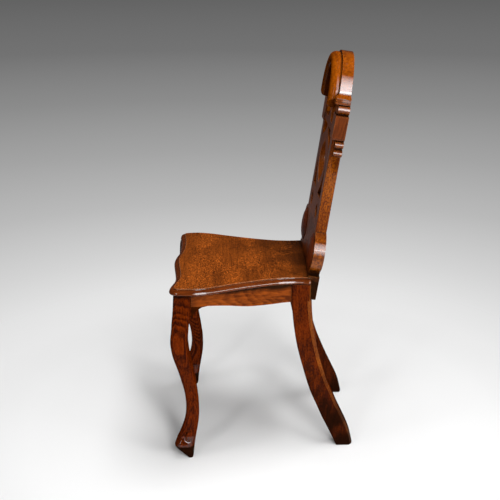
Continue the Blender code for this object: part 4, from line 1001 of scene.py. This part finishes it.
# %% Old iron for the screws
iron = bpy.data.materials.new("old screw iron")
iron.use_nodes = True
iron_tree = iron.node_tree
iron_shader = iron_tree.nodes["Principled BSDF"]
BROWN_IRON, RUST = (0.09, 0.08, 0.075, 1), (0.13, 0.05, 0.02, 1)
rust = noise(iron_tree, node(iron_tree, "TexCoord").outputs["Object"], 600.0, 4.0)
iron_colour = mix_colour(iron_tree, range_node(iron_tree, rust, 0.45, 0.65), BROWN_IRON, RUST)
feed(iron_tree, iron_shader.inputs["Base Color"], iron_colour)
feed(iron_tree, iron_shader.inputs["Roughness"], range_node(iron_tree, rust, 0.3, 0.7, 0.38, 0.8))
iron_shader.inputs["Metallic"].default_value = 0.8
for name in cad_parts:
    if "screw" in name:
        keep(name, iron, 0.0002)
print("screws:", sum("screw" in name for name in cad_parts))

# %% [markdown]
# ## The foot of the back
#
# One board makes the two round lobes and the tongue that goes down behind the seat. It is sawn to
# an outline and its arrises are rubbed well over. A hidden block cuts away what would stand in the
# seat, so that the tongue's face stays upright and the lobes rest on the board.

# %% The panel with its lobes
TONGUE_HALF = 0.134
TONGUE_DROP = 0.0575
TONGUE_CORNER = 0.004
LEDGE_INNER = 0.1195
LEDGE_RISE = 0.0005
LOBE_RADIUS = 0.049
LOBE_X = 0.101
LOBE_V = 0.0535
LOBE_ROOT = -62
PANEL_TOP = 0.109
STILE_OUTER = 0.111
STILE_INNER = 0.080


def both_sides(points):
    """A half outline from the bottom middle to the top middle, closed by its mirror image."""
    points = [tuple(point) for point in points]
    return points + [(-x, v) for x, v in reversed(points) if abs(x) > 1e-6]


lobe_end = math.degrees(math.acos((STILE_OUTER - LOBE_X) / LOBE_RADIUS))
lobe = arc((LOBE_X, LOBE_V), LOBE_RADIUS, LOBE_ROOT, lobe_end, 44)
lobe_seam = lobe[-1][1]
panel_half = [(0.0, -TONGUE_DROP), (TONGUE_HALF - TONGUE_CORNER, -TONGUE_DROP),
              (TONGUE_HALF, TONGUE_CORNER - TONGUE_DROP), (TONGUE_HALF, LEDGE_RISE),
              (LEDGE_INNER, LEDGE_RISE), *lobe,
              (STILE_INNER - GAP, lobe_seam), (STILE_INNER - GAP, PANEL_TOP), (0.0, PANEL_TOP)]


def panel_softness(x1, v1, x2, v2):
    """The lobes are rubbed round. The tongue is not, and the seams with the stiles stay sharp."""
    if max(abs(x1), abs(x2)) < STILE_OUTER + 0.001 and min(v1, v2) > lobe_seam - 0.001:
        return 0.0
    return 0.25 if min(v1, v2) < LEDGE_RISE * 2 else 1.0


panel = board("back_panel_lobed", both_sides(panel_half), -BACK_THICKNESS, 0.0, back_oak,
              ("back_panel",), softness=panel_softness, ease=0.0085, segments=8)
cut(panel, block("seat_space", (-0.25, SEAT_REAR - 0.04, TONGUE_BOTTOM - 0.02),
                 (0.25, SEAT_REAR + GAP, SEAT_LEVEL + GAP)))
print("lobes end at v", round(lobe_seam, 4))

# %% [markdown]
# ## Volutes on the lobes
#
# Each lobe carries a round boss with a scroll wound round its eye. A disc of many rings takes the
# scroll well: its height is worked out for each point from its turn and its distance.

# %% Carve the volutes
VOLUTE_RADIUS = 0.0405
VOLUTE_THICKNESS = 0.0085
VOLUTE_TURNS = 1.6
VOLUTE_SIDES = 96
# Shares of the radius, then shares of the thickness
FACE_EDGE = 0.985
GROOVE_WIDTH = 0.055
RIM_RISE = 0.10
DOME_RISE = 0.80
GROOVE_DEPTH = 0.16


def volute(side):
    """Rings of a low dome whose face is wound with a shallow groove, from the rim to the eye."""
    angles = np.linspace(0, 2 * math.pi, VOLUTE_SIDES, endpoint=False)
    rings = [(1.0, np.zeros(len(angles))), (1.0, np.full(len(angles), RIM_RISE))]
    for share in np.linspace(FACE_EDGE, 0.02, 48):
        dome = RIM_RISE + DOME_RISE * (1 - share ** 2.6)
        turn = (angles / (2 * math.pi) + share * VOLUTE_TURNS) % 1.0
        fade = min(1.0, share / 0.3) * min(1.0, (FACE_EDGE - share) / 0.2)
        groove = np.exp(-((turn - 0.5) / GROOVE_WIDTH) ** 2) * fade
        rings.append((share, dome - GROOVE_DEPTH * groove))
    made = []
    for share, rise in rings:
        x = side * (LOBE_X + share * VOLUTE_RADIUS * np.cos(angles))
        y = -BACK_THICKNESS - GAP - rise * VOLUTE_THICKNESS
        v = LOBE_V + share * VOLUTE_RADIUS * np.sin(angles)
        made.append(leaned(np.column_stack([x, y, v])))
    return made


for word, side in SIDES:
    add_piece(f"back_volute_{word}_wound", *loft(volute(side)), dark_oak, "dark_oak",
              (f"back_volute_{word}",))
print("volutes:", 2)

# %% [markdown]
# ## The stiles
#
# A stile rises from each lobe, carries two half-round reeds on its edge, and swells into a neck.
# The reeds stop short of the front, with rounded ends, and the neck's front arris is rubbed wide.
# So three boards are sawn, each with its own easing, and joined with a Boolean modifier.

# %% Stiles with reeds and necks
REED_HEIGHT = 0.0195
REED_PROUD = 0.014
REED_FRONT = -0.0195
REEDS_BOTTOM = 0.282
NECK_HALF = 0.142
NECK_FRONT = -0.0290
STILE_TOP = 0.377
# Share of the neck's height, share of its half width
NECK_SHARES = (
    (0.00, 0.860), (0.06, 0.874), (0.16, 0.880), (0.40, 0.886), (0.65, 0.892), (0.88, 0.898),
    (1.00, 0.902),
)


def reed(bottom):
    """Outer edge of one reed, a little more than half round so that a quirk parts it."""
    return [(STILE_OUTER + x * REED_PROUD, bottom + REED_HEIGHT * (0.5 + 0.47 * v))
            for x, v in arc((0, 0), 1, -90, 90, 20)]


neck_bottom = REEDS_BOTTOM + 2 * REED_HEIGHT + 0.001
neck_height = STILE_TOP - neck_bottom
neck = through([(w * NECK_HALF, neck_bottom + h * neck_height) for h, w in NECK_SHARES], 8)
quirk = (STILE_OUTER - 0.0025, REEDS_BOTTOM + REED_HEIGHT)
core = [(STILE_OUTER, lobe_seam + GAP), (STILE_OUTER, STILE_TOP)]
reeds = [*reed(REEDS_BOTTOM), quirk, *reed(REEDS_BOTTOM + REED_HEIGHT),
         (STILE_OUTER - 0.002, neck_bottom)]


def stile_softness(x1, v1, x2, v2):
    """A stile stays sharp at the lobe and at the crest."""
    return 0.0 if max(v1, v2) < lobe_seam + 0.001 or min(v1, v2) > STILE_TOP - 0.001 else 1.0


def stile_board(name, side, edge, inner, front, finish, ease, replaces=()):
    """One board of a stile, between its inner edge and the edge given."""
    outline = [(inner, edge[0][1]), *edge, (inner, edge[-1][1])]
    return board(name, [(side * x, v) for x, v in outline], front, 0.0, finish, replaces,
                 softness=stile_softness, ease=ease, segments=6)


for word, side in SIDES:
    stile = stile_board(f"back_stile_{word}_reeded", side, core, STILE_INNER, -BACK_THICKNESS,
                        stile_oak, 0.0022, (f"back_stile_{word}",))
    for what, edge, inner, front, finish, ease in (
            ("reeds", reeds, STILE_INNER + 0.004, REED_FRONT, back_oak, 0.0030),
            ("neck", neck, STILE_INNER + 0.002, NECK_FRONT, shaded_neck_oak, 0.0060)):
        cut(stile, stile_board(f"{what}_{word}", side, edge, inner, front, finish, ease), "UNION")
print("stiles rise from", round(lobe_seam, 3), "to", STILE_TOP)

# %% [markdown]
# ## The crest
#
# The crest is a horseshoe of board with a bold hood planted on its face. Below the arch the
# shoulder steps out over a small moulded block to a bead. The hood is a section swept round the
# arch: a half-round face, a quirk at each side, and a dark joint where it meets the board.

# %% The crest's board
BACK_LENGTH = 0.5032
ARCH_RADIUS = 0.096
ARCH_OPENING = 0.064
ARCH_V = BACK_LENGTH - ARCH_RADIUS
SHOULDER_HALF = 0.1235
BEAD_RADIUS = 0.0105
BEAD_V = STILE_TOP + 0.012
HOOD_MARGIN = 0.004

crest_low = STILE_TOP + GAP
springing = BEAD_V + BEAD_RADIUS + 0.0035
rise = math.degrees(math.asin((springing - ARCH_V) / ARCH_RADIUS))
arch_outer = arc((0, ARCH_V), ARCH_RADIUS, rise, 90, 40)
arch_inner = arc((0, ARCH_V), ARCH_OPENING, 90, 0, 36)
arch_foot = through([arch_inner[-1], ((ARCH_OPENING + STILE_INNER) / 2, (ARCH_V + crest_low) / 2),
                     (STILE_INNER, crest_low)], 8)
bead = arc((SHOULDER_HALF - BEAD_RADIUS, BEAD_V), BEAD_RADIUS, -80, 80, 24)
crest_half = [*arch_inner, *arch_foot[1:], (SHOULDER_HALF - 0.0035, crest_low), *bead,
              (arch_outer[0][0] + HOOD_MARGIN, springing), *arch_outer]
crest_outline = [tuple(p) for p in crest_half] + [(-x, v) for x, v in reversed(crest_half[1:-1])]


def crest_softness(x1, v1, x2, v2):
    """The crest stays sharp where it stands on the stiles."""
    return 0.0 if max(v1, v2) < crest_low + 0.0005 else 1.0


board("back_crest_arched", crest_outline, -BACK_THICKNESS, 0.0, crest_oak,
      ("back_crest",), softness=crest_softness, ease=0.0042, segments=6)
print("crest springs at v", round(springing, 4))

# %% The hood moulding
HOOD_THICKNESS = 0.022
HOOD_FOOT = 0.013
HOOD_SLANT = 0.011
# Share of the half width across, share of the thickness forward
HOOD_SECTION = (
    (-0.90, 0.00), (0.90, 0.00), (0.92, 0.10), (0.99, 0.14), (1.00, 0.20), (1.00, 0.36),
    (0.975, 0.49), (0.92, 0.61), (0.83, 0.72), (0.70, 0.82), (0.53, 0.90), (0.34, 0.955),
    (0.13, 0.985), (-0.10, 1.00), (-0.38, 0.99), (-0.62, 0.955), (-0.80, 0.89), (-0.92, 0.79),
    (-0.98, 0.66), (-1.00, 0.50), (-1.00, 0.22), (-0.99, 0.14), (-0.92, 0.10),
)
# From this point on the hood's section faces the opening, and those faces take painted shade.
HOOD_INSIDE = 18  # the first point of the section that faces the opening
# From each end inwards: share of the foot below the arch, share of the slant
FOOT_SHARES = ((1.0, 1.0), (0.96, 0.98), (0.85, 0.9), (0.6, 0.65), (0.3, 0.3))
END_SHRINKS = (0.86, 0.96)


def hood_rings():
    """The hood's section carried round the arch. Its feet are cut on a slant, higher outside."""
    half_width = (ARCH_RADIUS - HOOD_MARGIN - ARCH_OPENING) / 2
    centre = ARCH_OPENING + half_width
    foot = [(centre, ARCH_V - HOOD_FOOT * down) for down, _ in FOOT_SHARES]
    path = foot + list(arc((0, ARCH_V), centre, 0, 180, 96)) + [(-x, v) for x, v in reversed(foot)]
    path = np.array(path)
    along = np.gradient(path, axis=0)
    along /= np.linalg.norm(along, axis=1)[:, None]
    made = []
    for index, ((x, v), (dx, dv)) in enumerate(zip(path, along)):
        from_end = min(index, len(path) - 1 - index)
        shrink = END_SHRINKS[from_end] if from_end < len(END_SHRINKS) else 1.0
        lift = HOOD_SLANT * FOOT_SHARES[from_end][1] if from_end < len(FOOT_SHARES) else 0.0
        outward = 1 if index < len(path) / 2 else -1
        section = [(x + dv * a * half_width * shrink,
                    -BACK_THICKNESS - GAP - f * HOOD_THICKNESS * shrink,
                    v - dx * a * half_width * shrink + lift * a * outward * (1 if dv > 0 else -1))
                   for a, f in HOOD_SECTION]
        made.append(leaned(section))
    return made


hood_verts, hood_faces = loft(hood_rings())
# The faces on the hood's inner side take painted shade.
inside = [int(index % len(HOOD_SECTION) >= HOOD_INSIDE) for index in range(len(hood_faces) - 2)]
add_piece("crest_hood_swept", hood_verts, hood_faces, [hood_oak, shadow_oak], "oak",
          ("crest_hood_moulding",), inside + [0, 0])
print("hood:", len(HOOD_SECTION), "points in its section")

# %% [markdown]
# ## The shoulder blocks
#
# Beside each foot of the hood stands a small block with two fine lines cut round it and a sloped
# top. Square rings with softened corners, stacked up the rake, make the block with its lines.

# %% Mould the shoulder blocks
BLOCK_INNER_X = 0.0970
BLOCK_OUTER_X = 0.1205
BLOCK_FRONT = -0.0345
BLOCK_REAR = -0.0008
BLOCK_ARRISES = (0.0004, 0.0012, 0.0012, 0.0004)
BLOCK_LOW = springing - 0.0022
BLOCK_HIGH = 0.4212
# Share of the height, and how far the sides are set in, in metres
BLOCK_PROFILE = (
    (0.00, 0.0014), (0.05, 0.0004), (0.10, 0.0), (0.26, 0.0), (0.29, 0.0010), (0.33, 0.0010),
    (0.36, 0.0), (0.52, 0.0), (0.55, 0.0012), (0.59, 0.0012), (0.62, 0.0004), (0.70, 0.0012),
    (0.80, 0.0040), (0.88, 0.0085), (0.94, 0.0140), (1.00, 0.0190),
)
for word, side in SIDES:
    block_rings = []
    for height, inset in BLOCK_PROFILE:
        v = BLOCK_LOW + height * (BLOCK_HIGH - BLOCK_LOW)
        front = BLOCK_FRONT + min(inset, 0.006)
        corners = ((BLOCK_INNER_X, front), (BLOCK_OUTER_X - inset, front),
                   (BLOCK_OUTER_X - inset, BLOCK_REAR), (BLOCK_INNER_X, BLOCK_REAR))
        ring = softened(corners, BLOCK_ARRISES)
        block_rings.append(leaned([(side * x, y, v) for x, y in ring]))
    add_piece(f"crest_shoulder_block_{word}", *loft(block_rings), crest_oak, "dark_oak",
              (f"crest_shoulder_boss_{word}",))
print("shoulder blocks reach v", BLOCK_HIGH)

# %% [markdown]
# ## The splat
#
# The pierced splat fills the space between the stiles: a bar with two small leaves, a large pointed
# oval that touches both stiles, a bar level with the necks, and a finial that rises into the arch.
# Every opening has a rubbed rim, so the arrises are eased.

# %% Pierce the splat
SPLAT_SILL = 0.170
OVAL_TOUCHES = 0.245
OVAL_LEAVES = 0.284
BAR_BOTTOM = 0.329
BAR_TOP = 0.344
FINIAL_HEIGHT = 0.050
# Outer edge of the oval and of the finial: share of the rise, share of the stile's place
OVAL_FOOT_SHARES = (
    (0.00, 0.280), (0.09, 0.370), (0.24, 0.530), (0.45, 0.695), (0.67, 0.820), (0.87, 0.935),
    (1.00, 0.990),
)
OVAL_HEAD_SHARES = (
    (0.00, 0.990), (0.16, 0.875), (0.34, 0.650), (0.57, 0.375), (0.75, 0.200), (0.90, 0.135),
    (1.00, 0.130),
)
FINIAL_SHARES = (
    (0.00, 0.375), (0.12, 0.225), (0.28, 0.138), (0.48, 0.125), (0.66, 0.165), (0.80, 0.160),
    (0.93, 0.090), (1.00, 0.000),
)
# Middle, bottom, top and half width of each opening
SPLAT_HOLES = (
    (0.0, 0.190, 0.2965, 0.053), (0.058, 0.116, 0.155, 0.016), (-0.058, 0.116, 0.155, 0.016),
)


def leaf(middle_x, bottom, top, half_width, steps=26):
    """A pointed opening, widest at its middle."""
    shares = np.linspace(0, 1, steps + 1)
    right = [(half_width * math.sin(math.pi * t), bottom + (top - bottom) * t) for t in shares]
    loop = right + [(-x, v) for x, v in reversed(right[1:-1])]
    return [(middle_x + x, v) for x, v in loop]


splat_low = PANEL_TOP + GAP
splat_wide = STILE_INNER - GAP


def splat_edge(shares, low, high):
    """A smooth edge from one height to another."""
    return through([(x * STILE_INNER, low + v * (high - low)) for v, x in shares], 6)


splat_half = [(0.0, splat_low), (splat_wide, splat_low), (splat_wide, SPLAT_SILL),
              *splat_edge(OVAL_FOOT_SHARES, SPLAT_SILL, OVAL_TOUCHES),
              (splat_wide, OVAL_TOUCHES + 0.001), (splat_wide, OVAL_LEAVES - 0.001),
              *splat_edge(OVAL_HEAD_SHARES, OVAL_LEAVES, BAR_BOTTOM),
              (splat_wide, BAR_BOTTOM), (splat_wide, BAR_TOP),
              *splat_edge(FINIAL_SHARES, BAR_TOP, BAR_TOP + FINIAL_HEIGHT)]


def splat_softness(x1, v1, x2, v2):
    """The splat stays sharp where it enters the stiles and the panel."""
    in_stile = min(abs(x1), abs(x2)) > splat_wide - 0.001
    return 0.0 if in_stile or max(v1, v2) < splat_low + 0.001 else 1.0


board("back_splat_pierced", both_sides(splat_half), -BACK_THICKNESS, 0.0, splat_oak,
      ("back_splat",), [leaf(*hole) for hole in SPLAT_HOLES], splat_softness, ease=0.0022)
print("openings in the splat:", len(SPLAT_HOLES))

# %% [markdown]
# ## Floor, light and backdrop
#
# The floor is one wide disc, pale round the chair and greyer with distance, so that it looks alike
# from every side. A tall soft light beside the camera lights the wood, and a wider, cooler one at
# the same place only draws the long highlights in the polish. A wide one above lights the seat and
# lays the shadow on the floor. The room itself is nearly dark, which keeps the wood deep and warm.

# %% The floor
FLOOR_RADIUS = 16.0
floor_mesh = bpy.data.meshes.new("floor")
floor_bm = bmesh.new()
bmesh.ops.create_circle(floor_bm, cap_ends=True, radius=FLOOR_RADIUS, segments=96)
floor_bm.to_mesh(floor_mesh)
floor_bm.free()
floor = into_scene("floor", floor_mesh)
# Distance from the chair, grey
FLOOR_GREYS = (
    (0.0, 0.87), (0.2, 0.85), (0.4, 0.81), (0.6, 0.86), (0.8, 0.84), (1.26, 0.66), (1.9, 0.49),
    (2.8, 0.37), (4.2, 0.26), (6.4, 0.17), (10.7, 0.127), (16.0, 0.09),
)
LIT_FLOOR = 0.4
PLAIN_FLOOR = 1.0
BLACK = (0, 0, 0, 1)
paper = bpy.data.materials.new("grey paper floor")
paper.use_nodes = True
paper_tree = paper.node_tree
floor_place = node(paper_tree, "NewGeometry").outputs["Position"]
distance = vector_node(paper_tree, "LENGTH", floor_place)
floor_share = math_node(paper_tree, "DIVIDE", distance, FLOOR_RADIUS, clamp=True)
floor_share = math_node(paper_tree, "POWER", floor_share, 0.5)
ramp = paper_tree.nodes.new("ShaderNodeValToRGB")
for index, (metres, grey) in enumerate(FLOOR_GREYS):
    stop = (metres / FLOOR_RADIUS) ** 0.5
    element = ramp.color_ramp.elements[index] if index < 2 else ramp.color_ramp.elements.new(stop)
    element.position, element.color = stop, (grey, grey, grey, 1)
feed(paper_tree, ramp.inputs[0], floor_share)
plain = range_node(paper_tree, distance, LIT_FLOOR, PLAIN_FLOOR)
paper_shader = paper_tree.nodes["Principled BSDF"]
rays = node(paper_tree, "LightPath").outputs
seen = plus(paper_tree, rays["Is Camera Ray"], rays["Is Glossy Ray"])
seen = plus(paper_tree, seen, rays["Is Transmission Ray"], clamp=True)
for label, value in (("Base Color", mix_colour(paper_tree, plain, ramp.outputs[0], BLACK)),
                     ("Emission Color", mix_colour(paper_tree, plain, BLACK, ramp.outputs[0])),
                     ("Emission Strength", seen), ("Roughness", 0.9), ("Specular IOR Level", 0.0)):
    feed(paper_tree, paper_shader.inputs[label], value)
floor_mesh.materials.append(paper)
print("floor:", FLOOR_RADIUS, "m across its half")

# %% The lights
SHEEN_TINT = (0.80, 0.92, 1.0)
DIMMEST = 0.05


def soft_light(name, place, target, width, height, watts, shines=True, fade=0.25, lights=True,
               tint=(1, 1, 1)):
    """A soft box that faces a target, hot in its middle.

    Only one that shines is mirrored in the polish, and only one that lights falls on the wood.
    fade is the share of its height, at the top and at the bottom, over which it dims.
    """
    data = bpy.data.lights.new(name, "AREA")
    data.shape, data.size, data.size_y, data.energy = "RECTANGLE", width, height, watts
    data.use_nodes = True
    data.color = tint
    tree = data.node_tree
    across = node(tree, "NewGeometry").outputs["Parametric"]
    up = node(tree, "SeparateXYZ", Vector=across).outputs["Y"]
    from_end = math_node(tree, "MINIMUM", up, minus(tree, 1.0, up))
    strength = range_node(tree, from_end, 0.0, fade, DIMMEST, 1.0)
    feed(tree, tree.nodes["Emission"].inputs["Strength"], strength)
    lamp = into_scene(name, data)
    lamp.location = place
    lamp.rotation_euler = (Vector(target) - Vector(place)).to_track_quat("-Z", "Y").to_euler()
    lamp.visible_camera = False
    lamp.visible_glossy = shines
    lamp.visible_diffuse = lights
    return lamp


soft_light("tall soft box", (2.35, 0.54, 1.7), (0, 0.1, 0.7), 0.45, 2.5, 60, shines=False)
soft_light("its sheen", (2.35, 0.72, 1.6), (0, 0.1, 0.75), 0.8, 4.2, 175, fade=0.5, lights=False,
           tint=SHEEN_TINT)
soft_light("long strip", (2.2, 0.95, 1.25), (0, 0.1, 0.5), 2.1, 0.24, 26, fade=0.4)
soft_light("upright strip", (1.9, -1.1, 1.3), (0, 0, 0.5), 0.1, 1.7, 11, fade=0.3)
soft_light("overhead soft box", (0, 0.3, 2.6), (0, 0, 0.3), 1.3, 1.3, 58, shines=False)
soft_light("front fill", (1.0, -2.2, 1.2), (0, 0, 0.5), 0.8, 1.2, 13, shines=False)
soft_light("rear rim", (1.5, 2.0, 1.2), (0, 0.1, 0.5), 0.7, 1.2, 16, shines=False)

# %% The dim room
ROOM_GREY = (0.022, 0.022, 0.022, 1)
world = bpy.data.worlds.new("dim room")
bpy.context.scene.world = world
world.use_nodes = True
for label, value in (("Color", ROOM_GREY), ("Strength", 1.0)):
    feed(world.node_tree, world.node_tree.nodes["Background"].inputs[label], value)
bpy.context.scene.view_settings.view_transform = "Standard"
print("room:", ROOM_GREY[0])
